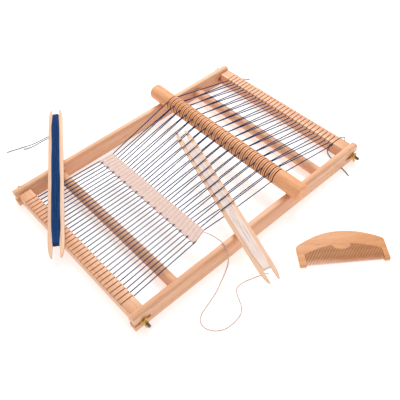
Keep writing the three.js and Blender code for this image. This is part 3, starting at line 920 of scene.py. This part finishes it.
# %% Make the metal finishes
def handled_metal(name, bright, dull, shine, worn):
    """Metal whose colour and gloss wander a little over a few millimetres."""
    material, tree, shader = new_finish(name, metallic=1.0)
    place = add_node(tree, "ShaderNodeTexCoord")
    wear = add_node(
        tree, "ShaderNodeTexNoise", vector=place.outputs["Object"], scale=350.0, detail=4.0
    )
    colour = add_node(
        tree,
        "ShaderNodeMix",
        {"data_type": "RGBA"},
        s0=wear.outputs[0],
        s6=linear(bright),
        s7=linear(dull),
    )
    gloss = add_node(
        tree, "ShaderNodeMapRange", value=wear.outputs[0], to_min=shine, to_max=worn
    )
    tree.links.new(colour.outputs[2], shader.inputs["Base Color"])
    tree.links.new(gloss.outputs["Result"], shader.inputs["Roughness"])
    return material


# Zinc-plated steel: grey, brighter in some patches and duller and oilier in others.
zinc_plated_steel = handled_metal("zinc_plated_steel", "a59c92", "6a6058", 0.25, 0.5)
# Plain brass: a clear yellow with a brown tarnish.
plain_brass = handled_metal("plain_brass", "f2cf80", "bd8c44", 0.25, 0.5)
print("metal finishes:", zinc_plated_steel.name, plain_brass.name)

# %% [markdown]
# ## Studs, washers and wing nuts
#
# At each end of each beam a threaded stud passes out through the rail, and a wing nut on
# a washer clamps it. Round metal parts are turned, so their outlines are spun about the
# stud's axis. The thread is drawn as rings, one for each millimetre or so: a true helix
# of this size looks the same.

# %% Turn the studs, washers and nuts
THREAD_PITCH = 0.8
WASHER_RADIUS, WASHER_THICKNESS = 5.4, 1.0
NUT_RADIUS, NUT_LENGTH, WING_RADIUS, WING_THICKNESS, WING_CENTRE = 4.1, 5.0, 3.4, 1.8, 6.2


def spun(profile, steps, closed=False):
    """Turns an outline of (x, radius) points about the X axis into a solid."""
    shape = bmesh.new()
    verts = [shape.verts.new((x, 0, radius)) for x, radius in profile]
    edges = [shape.edges.new(pair) for pair in zip(verts, verts[1:])]
    if closed:
        edges.append(shape.edges.new((verts[-1], verts[0])))
    bmesh.ops.spin(
        shape, geom=verts + edges, cent=(0, 0, 0), axis=X, angle=2 * math.pi, steps=steps, use_merge=True
    )
    bmesh.ops.remove_doubles(shape, verts=shape.verts, dist=1e-4)
    return shape


def stud_outline(start, end):
    """A stud's outline, with a chamfered end and a thread outside the beam."""
    threads = int((end - 1 - rail_inside) / THREAD_PITCH)
    outline = [(start, 0), (start, STUD_RADIUS)]
    for k in range(threads):
        x = end - 1 - (threads - k) * THREAD_PITCH
        outline += [(x, STUD_RADIUS), (x + THREAD_PITCH / 2, STUD_RADIUS - 0.4)]
    return outline + [(end - 1, STUD_RADIUS), (end, STUD_RADIUS - 0.9), (end, 0)]


def ring_outline(start, end, bore, outer, far_outer):
    """The closed outline of a ring with a bore, which may taper outwards."""
    return [(start, bore), (end, bore), (end, far_outer), (start, outer)]


def wing(side):
    """One rounded wing of a nut, leaning outwards."""
    shape = bmesh.new()
    lean_out = Matrix.Rotation(math.radians(12 * side), 4, "Y")
    place = Matrix.Translation((NUT_LENGTH - WING_THICKNESS + 0.4, 0, side * WING_CENTRE)) @ lean_out
    bmesh.ops.create_cone(
        shape,
        cap_ends=True,
        segments=28,
        radius1=WING_RADIUS,
        radius2=WING_RADIUS,
        depth=WING_THICKNESS,
        matrix=place @ Matrix.Diagonal((1, 0.85, 1, 1)) @ along_x,
    )
    return shape


bore = STUD_RADIUS + GAP
for end in ("front", "rear"):
    for hand, turned in (("left", math.pi), ("right", 0.0)):
        low, high = measured(f"{end}_{hand}_stud")
        reach = max(abs(low.x), abs(high.x))
        start = min(abs(low.x), abs(high.x))
        place = Matrix.Translation((0, (low.y + high.y) / 2, axis_height)) @ Matrix.Rotation(turned, 4, "Z")
        washer_at = rail_outside + GAP
        nut_at = washer_at + WASHER_THICKNESS + GAP
        stud = mesh_of("stud", spun(stud_outline(start, reach), 32))
        washer = carved(
            mesh_of(
                "washer",
                spun(ring_outline(washer_at, washer_at + WASHER_THICKNESS, bore, WASHER_RADIUS, WASHER_RADIUS), 48, True),
            ),
            soften=0.2,
        )
        nut = mesh_of("nut", spun(ring_outline(0, NUT_LENGTH, bore, NUT_RADIUS, NUT_RADIUS - 0.7), 40, True))
        nut = carved(nut, added=[wing(-1), wing(1)], soften=0.35)
        nut.transform(Matrix.Translation((nut_at, 0, 0)))
        name = f"{end}_{hand}"
        for mesh, part, finish, slot, body in (
            (stud, "stud", zinc_plated_steel, "steel", f"{end}_beam"),
            (washer, "washer", plain_brass, "brass", f"{end}_beam"),
            (nut, "wing_nut", plain_brass, "brass", f"{name}_wing_nut"),
        ):
            mesh.transform(place)
            lay_piece(f"{name}_{part}_metal", mesh, finish, [f"{name}_{part}"], body)

# %% [markdown]
# ## The heddle roller
#
# The roller is a thick dowel, turned with a dome at one end. Every warp end lies in its
# own slot. A slot's floor is a round core set off the roller's axis, upwards for one end
# and downwards for the next, so half a turn of the roller swaps the raised and the
# lowered threads. Between the slots the lathe leaves a shallow ring. The outline with
# its rings is spun, and ring-shaped cutters then open the slots down to their cores.

# %% Turn and slot the roller
ROLLER_DOME = 8
ROLLER_SLOT = 1.8
RING_WIDTH, RING_DEPTH = 0.9, 1.5

outline = []
for k in range(9):
    angle = math.pi / 2 * k / 8
    outline.append((roller_low.x + ROLLER_DOME * (1 - math.cos(angle)), roller_radius * math.sin(angle)))
for i in range(WARP_ENDS - 1):
    x = slot_x(i) + WARP_PITCH / 2
    half = RING_WIDTH / 2
    outline += [
        (x - half, roller_radius),
        (x - half / 2, roller_radius - RING_DEPTH),
        (x + half / 2, roller_radius - RING_DEPTH),
        (x + half, roller_radius),
    ]
for k in range(5):
    angle = math.pi / 2 * k / 4
    outline.append(
        (roller_high.x - 1.5 * (1 - math.sin(angle)), roller_radius - 1.5 * (1 - math.cos(angle)))
    )
outline.append((roller_high.x, 0))
blank = mesh_of("roller", spun(outline, 72))

cutters = bmesh.new()
for i in range(WARP_ENDS):
    ring = bmesh.new()
    offset = FLOOR_OFFSET if i % 2 == 0 else -FLOOR_OFFSET
    start = slot_x(i) - ROLLER_SLOT / 2
    for radius, lift in ((roller_radius + 2, 0), (FLOOR_RADIUS, offset)):
        bmesh.ops.create_circle(
            ring, segments=48, radius=radius, matrix=Matrix.Translation((start, 0, lift)) @ along_x
        )
    bmesh.ops.bridge_loops(ring, edges=ring.edges[:])
    pushed = bmesh.ops.extrude_face_region(ring, geom=ring.faces[:])["geom"]
    moved = [g for g in pushed if isinstance(g, bmesh.types.BMVert)]
    bmesh.ops.translate(ring, verts=moved, vec=(ROLLER_SLOT, 0, 0))
    cutters.from_mesh(mesh_of("ring", ring))
roller = carved(blank, [cutters])
roller.transform(Matrix.Translation((0, roller_y, roller_z)))
lay_piece("heddle_roller_beech", roller, beech_turned, ["heddle_roller"], "heddle")

# %% [markdown]
# ## The stick shuttles
#
# A stick shuttle is a thin lath with a fork at each end, and the yarn is wound along it
# from fork to fork. The fork's outer edges curve in over 30 mm. That long curve is an
# ordinary bevel made on a shortened blank, which is then stretched to its real length.
# The notches are cut next, and every edge is sanded round so that no thread snags.

# %% Find how each shuttle lies
def lie_of(node):
    """A long flat part's middle and its length, width and upward directions."""
    corners = {tuple(round(c, 2) for c in to_loom @ v.co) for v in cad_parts[node].data.vertices}
    points = [Vector(p) for p in sorted(corners)]
    rough = (max(points, key=lambda p: p.x - p.y) - min(points, key=lambda p: p.x - p.y)).normalized()
    # Both prongs of each fork end within a few millimetres, and their tips are averaged.
    reaches = sorted(p.dot(rough) for p in points)
    tips = 3
    starts = [p for p in points if p.dot(rough) < reaches[0] + tips]
    stops = [p for p in points if p.dot(rough) > reaches[-1] - tips]
    start, stop = (sum(ends, Vector()) / len(ends) for ends in (starts, stops))
    centre = (start + stop) / 2
    x = (stop - start).normalized()
    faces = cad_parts[node].data.polygons
    z = max(faces, key=lambda f: f.area).normal.copy()
    z = z if z.z > 0 else -z
    y = z.cross(x).normalized()
    return axes_at(centre, x, y, x.cross(y))


cream_lie = lie_of("cream_shuttle")
navy_lie = lie_of("navy_shuttle")
print("cream shuttle's middle:", cream_lie.translation, "navy shuttle's middle:", navy_lie.translation)

# %% Make the shuttle sticks
STICK_NOTCH_WIDTH = 10.5
STICK_NOTCH_DEPTH = 24
PRONG_TIP = 6.5
PRONG_TAPER = 30
FLARE = 1.16

stick_length, stick_width, stick_thickness = 306, 24, 3
# Pale sanded beech, finer than the frame's: each stick's grain runs along it.
shuttle_woods = {
    name: sanded_wood(
        f"pale_beech_{name}",
        0,
        "f1c8a9",
        "e7b592",
        "c4906c",
        turn=math.atan2(lie.col[0].y, lie.col[0].x),
    )
    for name, lie in (("cream", cream_lie), ("navy", navy_lie))
}


def stick_blank():
    """A lath whose corners curve in towards the tips of its forks."""
    shape = bmesh.new()
    squeeze = PRONG_TAPER / (stick_width / 2 - PRONG_TIP)
    half = Vector((stick_length / squeeze, stick_width, stick_thickness)) / 2
    add_block(shape, -half, half)
    corners = [e for e in shape.edges if abs(e.verts[0].co.z - e.verts[1].co.z) > 1]
    bmesh.ops.bevel(
        shape,
        geom=corners,
        offset=stick_width / 2 - PRONG_TIP,
        offset_type="OFFSET",
        segments=10,
        profile=0.5,
        affect="EDGES",
        material=-1,
    )
    bmesh.ops.scale(shape, vec=(squeeze, 1, 1), verts=shape.verts)
    return shape


def notch_cutters():
    """The open notches at both ends of a stick."""
    shape = bmesh.new()
    for end in (-1, 1):
        notch_centre = X * end * (stick_length / 2 - STICK_NOTCH_DEPTH + STICK_NOTCH_WIDTH / 2)
        place = axes_at(notch_centre, X * end, Y * end, Z)
        add_open_hole(shape, STICK_NOTCH_WIDTH / 2, 20, STICK_NOTCH_DEPTH, FLARE, place)
    return shape


for name, lie in (("cream", cream_lie), ("navy", navy_lie)):
    stick = carved(mesh_of("stick", stick_blank()), [notch_cutters()], soften=0.7, segments=3)
    stick.transform(lie)
    body = f"{name}_shuttle"
    lay_piece(f"{name}_stick_beech", stick, shuttle_woods[name], [body], body)

# %% [markdown]
# ## The yarn on the shuttles
#
# The yarn is wound lengthwise, over both faces of the stick and through both notches, so
# each turn is a long flat loop. The turns lie side by side in layers and draw together
# where they pass through the notch. A little slow noise lets them wander as hand-wound
# yarn does, and on the full navy shuttle they bunch into three thicker bundles.

# %% Wind the shuttles
WOUND_RADIUS = 0.72


def wind_layer(shape, turns, stand, far, near, gather, bulge, seed):
    """Adds one layer of turns that stand off the stick and reach from -far to near."""
    straight = 44
    bend = 8
    for k in range(turns):
        share = (k - (turns - 1) / 2) / max((turns - 1) / 2, 1)
        line = []
        for face, (start, stop) in ((1, (stand - far, near - stand)), (-1, (near - stand, stand - far))):
            for n in range(straight):
                x = start + (stop - start) * n / straight
                wander = noise.noise_vector(Vector((x / 38, 3.1 * k + seed, 2.0 * face)))
                to_end = min(x + far, near - x)
                drawn = gather + (1 - gather) * min(max((to_end - 3) / 24, 0), 1)
                easy = min(to_end / 30, 1)
                swell = bulge * (0.35 + abs(math.cos(1.5 * math.pi * share))) * easy
                y = share * (turns - 1) / 2 * 1.16 * drawn + wander.x * 0.9 * easy
                line.append(Vector((x, y, face * (stand + swell + wander.y * 0.3 * easy))))
            end = 1 if face > 0 else -1
            centre_x = (near - stand) if end > 0 else (stand - far)
            y = share * (turns - 1) / 2 * 1.16 * gather
            for n in range(bend):
                angle = math.pi / 2 - math.pi * n / bend
                swing = Vector((math.cos(angle) * end, 0, math.sin(angle) * face))
                line.append(Vector((centre_x, y, 0)) + stand * swing)
        add_yarn(shape, line, closed=True, radius=WOUND_RADIUS)


packs = {
    "cream": (cream_lie, wound_cream_cotton, "cream_yarn", [(12, 2.0, 132.4, 132.4, 0.66, 0.0)]),
    "navy": (
        navy_lie,
        wound_navy_cotton,
        "navy_yarn",
        [(11, 2.1, 138.6, 130.6, 0.74, 0.0), (10, 3.2, 140.0, 132.0, 0.74, 0.8)],
    ),
}
for name, (lie, finish, slot, layers) in packs.items():
    shape = bmesh.new()
    for seed, (turns, stand, far, near, gather, bulge) in enumerate(layers):
        wind_layer(shape, turns, stand, far, near, gather, bulge, 10.0 * seed)
    wound = mesh_of("wound", shape, merge=False)
    wound.transform(lie)
    body = f"{name}_shuttle"
    lay_piece(f"{name}_wound_yarn", wound, finish, [f"{body}_yarn"], body, sharp=60)

# %% [markdown]
# ## The warp
#
# The warp is the yarn that the weaver crosses. From the front beam it rises to the band,
# and past the band it parts: even ends run over the raised cores of the roller and odd
# ends under, and the cream shuttle lies in the opening. Each end is a taut string, so its
# line is found as a string's is: it touches only the edges that it must bend over. The
# yarn is made in two pieces that meet inside the band.

# %% Find the line of each warp end
BAND_FRONT, BAND_REAR = -92, -68
BAND_FRONT_EDGES = (-106, 118)
BAND_REAR_EDGES = (-102, 112)
CREAM_HALF_WIDTH, CREAM_HALF_PACK, CREAM_HALF_THICKNESS = 12, 7.2, 2.6
CREAM_PACK_REACH = 133
CRIMP = 1.7  # how far a warp end bends over or under the first weft row


def band_x(edges, i):
    """The place of warp end i between the first and last ends of a row of the band."""
    return edges[0] + (edges[1] - edges[0]) * i / (WARP_ENDS - 1)


def shuttle_supports(start, stop, side):
    """Where a warp end meets the shuttle's long edges, and how high it has to pass."""
    along = Vector((cream_lie.col[0].x, cream_lie.col[0].y)).normalized()
    across = Vector((-along.y, along.x))
    shuttle_middle = cream_lie.translation.xy
    run = stop - start
    found = []
    for offset, stand, reach in (
        (-CREAM_HALF_WIDTH, stick_thickness / 2, stick_length / 2),
        (-CREAM_HALF_PACK, CREAM_HALF_THICKNESS, CREAM_PACK_REACH),
        (CREAM_HALF_PACK, CREAM_HALF_THICKNESS, CREAM_PACK_REACH),
        (CREAM_HALF_WIDTH, stick_thickness / 2, stick_length / 2),
    ):
        met = start + run * (offset - (start - shuttle_middle).dot(across)) / run.dot(across)
        if abs((met - shuttle_middle).dot(along)) <= reach + GAP:
            found.append((met.y, warp_height(met.y) + side * (stand + GAP + YARN_RADIUS)))
    return found


def pulled_taut(supports, side):
    """Keeps only the supports that a taut string touches, over (1) or under (-1) them."""
    kept = []
    for c in supports:
        while len(kept) > 1:
            a, b = kept[-2:]
            turn = (b[0] - a[0]) * (c[1] - a[1]) - (b[1] - a[1]) * (c[0] - a[0])
            if side * turn < 0:
                break
            kept.pop()
        kept.append(c)
    return kept


def core_points(side):
    """The bend of a warp end over its core in the roller, as (y, z) places."""
    core_z = roller_z + side * FLOOR_OFFSET
    angles = [math.radians(a) for a in (97, 87, 77)]
    return [(roller_y + floor_yarn * math.cos(a), core_z + floor_yarn * math.sin(a)) for a in angles]


def rear_line(i):
    """Warp end i from the middle of the band to the rear beam's inner face."""
    side = 1 if i % 2 == 0 else -1
    x = slot_x(i)
    into_roller = roller_y - roller_radius - GAP
    fell = Vector((band_x(BAND_REAR_EDGES, i), BAND_REAR))
    guide = Vector((x, into_roller))
    core = core_points(side)
    start = (fell.y, warp_height(fell.y))
    shed = pulled_taut([start, *shuttle_supports(fell, guide, side), core[0]], side)
    last = shed[-2]
    share = (into_roller - last[0]) / (core[0][0] - last[0])
    shed.insert(-1, (into_roller, last[1] + share * (core[0][1] - last[1])))
    line = []
    for y, z in shed:
        part = min((y - fell.y) / (guide.y - fell.y), 1)
        line.append(Vector((fell.x + part * (x - fell.x), y, z)))
    line += [Vector((x, y, z)) for y, z in core[1:]]
    line.append(Vector((x, rear_low.y, slot_yarn_z)))
    return [inside_band(i), *line]


def inside_band(i):
    """The point in the middle of the band where the two pieces of warp end i meet."""
    front = Vector((band_x(BAND_FRONT_EDGES, i), BAND_FRONT, warp_height(BAND_FRONT)))
    rear = Vector((band_x(BAND_REAR_EDGES, i), BAND_REAR, warp_height(BAND_REAR)))
    return (front + rear) / 2


def front_line(i):
    """Warp end i from the middle of the band to the front beam's inner face."""
    x = band_x(BAND_FRONT_EDGES, i)
    side = 1 if i % 2 else -1
    # The first weft row passes under every second end, which shows there as a dot.
    line = [inside_band(i)]
    for past, rise in ((3.6, 0), (1.5, CRIMP), (-0.4, CRIMP), (-2.6, 0)):
        y = BAND_FRONT + past
        line.append(Vector((x, y, warp_height(y) + side * rise)))
    return [*line, Vector((slot_x(i), front_high.y, slot_yarn_z))]


def stepped(line, step):
    """The same line with more points, so that it can bend between two bodies."""
    fine = []
    for a, b in zip(line, line[1:]):
        count = max(1, round((b - a).length / step))
        fine += [a.lerp(b, k / count) for k in range(count)]
    return [*fine, line[-1]]


def round_tooth(i, face_y, end):
    """The turn from warp end i round the outside of a tooth to the next end."""
    turn_y = face_y - end * (TURN_GROOVE_DEPTH - GAP / 3 - WARP_RADIUS)
    round_off = 0.7
    corners = []
    for x, way in ((slot_x(i), 1), (slot_x(i + 1), -1)):
        pair = [Vector((x, turn_y - end * round_off, slot_yarn_z)), Vector((x + way * round_off, turn_y, slot_yarn_z))]
        corners += pair if way > 0 else pair[::-1]
    return corners


# %% String the warp
STEP = 7.0
strung = {}
for end, line_of, face_y, first in (
    (-1, front_line, front_low.y, 0),
    (1, rear_line, rear_high.y, 1),
):
    shape = bmesh.new()
    for i in range(first, WARP_ENDS - 1, 2):
        loop = [*line_of(i), *round_tooth(i, face_y, end), *line_of(i + 1)[::-1]]
        add_yarn(shape, stepped(loop, STEP), radius=WARP_RADIUS)
    if end > 0:
        for i in (0, WARP_ENDS - 1):
            last = Vector((slot_x(i), tail_y, slot_yarn_z))
            add_yarn(shape, stepped([*line_of(i), last], STEP), radius=WARP_RADIUS)
    strung[end] = mesh_of("strung", shape)

front_warp = lay_piece("front_warp", strung[-1], navy_cotton, ["warp"], sharp=60)
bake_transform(front_warp)
rear_warp = lay_piece("rear_warp", strung[1], navy_cotton, ["warp"], sharp=60)
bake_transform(rear_warp)

# %% [markdown]
# ## The woven band
#
# The first finger's width of cloth is woven already. The weft passes over one warp end
# and under the next, and every row is beaten down hard, so the rows ride over each other
# and hide the warp: only dots of navy show where the warp enters. The cloth is a closed
# sheet. Its two faces start as one flat grid, and each point is raised to the top, or
# lowered to the underside, of the nearest weft rows. Real rows are 0.7 mm apart. They are
# drawn 0.92 mm apart, which still shows as a fine rib.

# %% Weave the band
WEFT_ROWS = 26
WEFT_HALF_WIDTH, WEFT_HALF_HEIGHT = 0.98, 0.6
WEFT_SWING = 1.0
SELVEDGE = 1.5
row_pitch = (BAND_REAR - BAND_FRONT) / WEFT_ROWS
proud = WEFT_HALF_WIDTH - row_pitch / 2


def weft_face(s, y, face):
    """The height of the cloth's upper (1) or lower (-1) face over its middle plane."""
    nearest = int((y - BAND_FRONT) / row_pitch)
    highest = -9.0
    for row in range(max(nearest - 2, 0), min(nearest + 3, WEFT_ROWS)):
        away = (y - BAND_FRONT - (row + 0.5) * row_pitch) / WEFT_HALF_WIDTH
        if abs(away) < 1:
            swing = WEFT_SWING * math.cos(math.pi * (s + row))
            highest = max(highest, face * swing + WEFT_HALF_HEIGHT * math.sqrt(1 - away * away))
    # Past the last warp end the weft turns back, so the cloth closes to a round edge.
    beyond = max(-s, s - (WARP_ENDS - 1), 0) * WARP_PITCH / SELVEDGE
    thin = math.sqrt(max(1 - min(beyond, 0.97) ** 2, 0))
    return face * max(highest, 0.05) * thin


cloth = bmesh.new()
columns, rows = 8 * (WARP_ENDS + 1), 4 * WEFT_ROWS + 4
bmesh.ops.create_grid(cloth, x_segments=columns, y_segments=rows, size=0.5)
under = cloth.verts[:]
raised = bmesh.ops.extrude_face_region(cloth, geom=cloth.faces[:])["geom"]
upper = [g for g in raised if isinstance(g, bmesh.types.BMVert)]
side_reach = SELVEDGE / WARP_PITCH
for face, verts in ((-1, under), (1, upper)):
    for vert in verts:
        s = (vert.co.x + 0.5) * (WARP_ENDS - 1 + 2 * side_reach) - side_reach
        y = BAND_FRONT - proud * 0.98 + (vert.co.y + 0.5) * (BAND_REAR - BAND_FRONT + 2 * proud * 0.98)
        depth = (y - BAND_FRONT) / (BAND_REAR - BAND_FRONT)
        x = (1 - depth) * band_x(BAND_FRONT_EDGES, s) + depth * band_x(BAND_REAR_EDGES, s)
        vert.co = (x, y, warp_height(y) + weft_face(s, y, face))
print("open edges of the cloth:", sum(1 for e in cloth.edges if not e.is_manifold))
flat_width = (BAND_FRONT_EDGES[1] - BAND_FRONT_EDGES[0] + BAND_REAR_EDGES[1] - BAND_REAR_EDGES[0]) / 2
flat_width += 2 * SELVEDGE

# %% [markdown]
# ### The finish of the cloth
#
# The weft is the same natural cotton as the cream yarn, but here it runs across the loom
# in rows, and on the cloth it looks pinker and softer. A fine noise, stretched along the
# rows, gives the fibres and their tone.

# %% Finish the band
def woven_cotton(name, hollow, crown):
    """Cream weft beaten into a dense rib, with fibres running across the loom."""
    material, tree, shader = new_finish(name, roughness=0.85, sheen_weight=0.25, sheen_roughness=0.5)
    place = add_node(tree, "ShaderNodeTexCoord")
    stretched = add_node(
        tree, "ShaderNodeMapping", vector=place.outputs["Object"], scale=(1 / 0.006, 1 / 0.0009, 1 / 0.0009)
    )
    fibres = add_node(tree, "ShaderNodeTexNoise", vector=stretched.outputs[0], scale=1.0, detail=3.0)
    tone = add_node(
        tree, "ShaderNodeMapRange", value=fibres.outputs[0], from_min=0.3, from_max=0.62
    )
    colour = add_node(
        tree,
        "ShaderNodeMix",
        {"data_type": "RGBA"},
        s0=tone.outputs["Result"],
        s6=linear(hollow),
        s7=linear(crown),
    )
    relief = add_node(
        tree, "ShaderNodeBump", strength=0.3, distance=0.0002, height=fibres.outputs[0]
    )
    tree.links.new(colour.outputs[2], shader.inputs["Base Color"])
    tree.links.new(relief.outputs["Normal"], shader.inputs["Normal"])
    return material


woven_weft = woven_cotton("woven_cotton_weft", "dab9ab", "efd5ca")
band = lay_piece(
    "woven_band_cloth", mesh_of("cloth", cloth), woven_weft, ["woven_band"], "root", sharp=80
)

# %% [markdown]
# ## The beating comb
#
# The weaver beats the weft down with a comb of oiled pearwood. It is sawn from a flat
# board: a round back, straight ends, and fine teeth whose roots follow a wide arch. The
# outline of the board has its curves as Bezier arcs, and one thin cutter for each gap,
# wider at the tips, leaves the teeth.

# %% Saw and finish the comb
COMB_PAST_RAIL, COMB_Y, COMB_ANGLE = 118.5, 51.3, math.radians(52.1)
COMB_THICKNESS = 6
COMB_TEETH, COMB_PITCH, TOOTH_WIDTH = 52, 2.1, 1.25
COMB_LEFT, COMB_RIGHT, FIRST_TOOTH, TOOTH_TIPS = -65, 60.5, -55.4, -2
ARCH_TOP, ARCH_RISE = 29.3, 13
LOBE_TIP, LOBE_RISE, LOBE_RADIUS = 20, 9, 13

TIP_SHORT, TIP_OPENING = 1.2, 0.4
GRIND_FROM, GRIND_DEPTH = 15, 1.9

# Oiled pearwood: orange-brown, even and smooth, with a soft gloss.
oiled_pearwood = sanded_wood(
    "oiled_pearwood", 0, "e2a36c", "d59058", "a2663a", roughness=0.4, turn=COMB_ANGLE
)


def comb_board():
    """The board of the comb in its own plane, with its tooth side along x."""
    arcs = (
        ((COMB_RIGHT, 30), (COMB_RIGHT, 32.7), (58.8, 34.9), (COMB_RIGHT - 5, 36.5)),
        ((COMB_RIGHT - 5, 36.5), (34, 48), (18, 52), (-2, 52)),
        ((-2, 52), (-24, 52), (-40, 45), (COMB_LEFT + 5, 34)),
        ((COMB_LEFT + 5, 34), (-63.3, 32.3), (COMB_LEFT, 30.3), (COMB_LEFT, 28)),
    )
    outline = [Vector((COMB_LEFT, TOOTH_TIPS, 0)), Vector((COMB_RIGHT, TOOTH_TIPS, 0))]
    for arc in arcs:
        outline += interpolate_bezier(*(Vector((*p, 0)) for p in arc), 13)[:-1]
    outline.append(Vector((COMB_LEFT, 28, 0)))
    shape = bmesh.new()
    plate = shape.faces.new([shape.verts.new(p) for p in outline])
    raised = bmesh.ops.extrude_face_region(shape, geom=[plate])["geom"]
    moved = [g for g in raised if isinstance(g, bmesh.types.BMVert)]
    bmesh.ops.translate(shape, verts=moved, vec=(0, 0, COMB_THICKNESS))
    return shape


def root_at(x):
    """How deep the gap at x is cut: one wide arch, with a half-round lobe in its middle."""
    half = COMB_TEETH * COMB_PITCH / 2
    away = abs(x - FIRST_TOOTH - half)
    arch = ARCH_TOP - ARCH_RISE * (away / half) ** 2
    lobe = LOBE_TIP + LOBE_RISE * (1 - math.sqrt(max(1 - (away / LOBE_RADIUS) ** 2, 0)))
    return min(arch, lobe) if away < LOBE_RADIUS else arch


# The teeth are ground thinner towards their tips from both faces, and end a little short.
last_gap = FIRST_TOOTH + COMB_TEETH * COMB_PITCH - TOOTH_WIDTH
grinding = bmesh.new()
add_block(grinding, (FIRST_TOOTH, TOOTH_TIPS - 1, -1), (last_gap, TOOTH_TIPS + TIP_SHORT, COMB_THICKNESS + 1))
wedges = [bmesh.new(), bmesh.new()]
for wedge, face_z, inward in ((wedges[0], 0, 1), (wedges[1], COMB_THICKNESS, -1)):
    z = sorted((face_z - 2 * inward, face_z))
    verts = add_block(wedge, (FIRST_TOOTH, TOOTH_TIPS - 1, z[0]), (last_gap, GRIND_FROM, z[1]))
    for vert in verts:
        if vert.co.y < TOOTH_TIPS and abs(vert.co.z - face_z) < 0.1:
            vert.co.z += inward * GRIND_DEPTH

gaps = bmesh.new()
for k in range(COMB_TEETH):
    left = FIRST_TOOTH + k * COMB_PITCH
    right = left + COMB_PITCH - TOOTH_WIDTH
    verts = add_block(gaps, (left, TOOTH_TIPS - 2, -1), (right, root_at((left + right) / 2), COMB_THICKNESS + 1))
    for vert in verts:
        if vert.co.y < TOOTH_TIPS:
            vert.co.x += TIP_OPENING if vert.co.x > (left + right) / 2 else -TIP_OPENING
board = carved(mesh_of("board", comb_board()), soften=0.9, segments=4)
ground = carved(board, [grinding, *wedges])
comb = carved(ground, [gaps])
comb.transform(Matrix.Translation((rail_outside + COMB_PAST_RAIL, COMB_Y, 0)) @ Matrix.Rotation(COMB_ANGLE, 4, "Z"))
lay_piece("comb_pearwood", comb, oiled_pearwood, ["comb"], "comb")

# %% [markdown]
# ## Floor and light
#
# The loom lies on a plain white sheet that is lit a little from below, as on a light
# table, so that no shadow turns grey. Most of the light is a wide, soft glow from all
# round. A large soft lamp stands high behind the loom on the left, so the top faces get
# a pale sheen and the faces turned to the camera stay warm and darker.

# %% Lay the floor and light the loom
paper, paper_tree, paper_shader = new_finish(
    "lit_white_paper", roughness=0.9, emission_color=(1, 1, 1, 1), emission_strength=0.42
)
paper_place = add_node(paper_tree, "ShaderNodeTexCoord")
paper_grain = add_node(
    paper_tree, "ShaderNodeTexNoise", vector=paper_place.outputs["Object"], scale=900.0
)
paper_colour = add_node(
    paper_tree,
    "ShaderNodeMix",
    {"data_type": "RGBA"},
    s0=paper_grain.outputs[0],
    s6=linear("f6f6f5"),
    s7=linear("fbfbfb"),
)
paper_tree.links.new(paper_colour.outputs[2], paper_shader.inputs["Base Color"])

sheet = bmesh.new()
bmesh.ops.create_grid(sheet, x_segments=1, y_segments=1, size=4, matrix=Matrix.Translation((0, 0, -0.0003)))
floor_mesh = bpy.data.meshes.new("paper_floor")
sheet.to_mesh(floor_mesh)
sheet.free()
floor_mesh.materials.append(paper)
floor = bpy.data.objects.new("paper_floor", floor_mesh)
bpy.context.scene.collection.objects.link(floor)

world = bpy.data.worlds.new("soft_glow")
bpy.context.scene.world = world
world.use_nodes = True
world.node_tree.nodes["Background"].inputs["Color"].default_value = (1, 1, 1, 1)
world.node_tree.nodes["Background"].inputs["Strength"].default_value = 0.66


def soft_lamp(name, place, size, power):
    """A square lamp at a place in metres, turned to the middle of the loom."""
    data = bpy.data.lights.new(name, "AREA")
    data.size = size
    data.energy = power
    lamp = bpy.data.objects.new(name, data)
    bpy.context.scene.collection.objects.link(lamp)
    lamp.location = place
    lamp.rotation_euler = (middle - Vector(place)).to_track_quat("-Z", "Y").to_euler()
    return lamp


soft_lamp("back_lamp", (-1.1, 0.95, 1.6), 1.3, 34)
bpy.context.scene.view_settings.view_transform = "Standard"
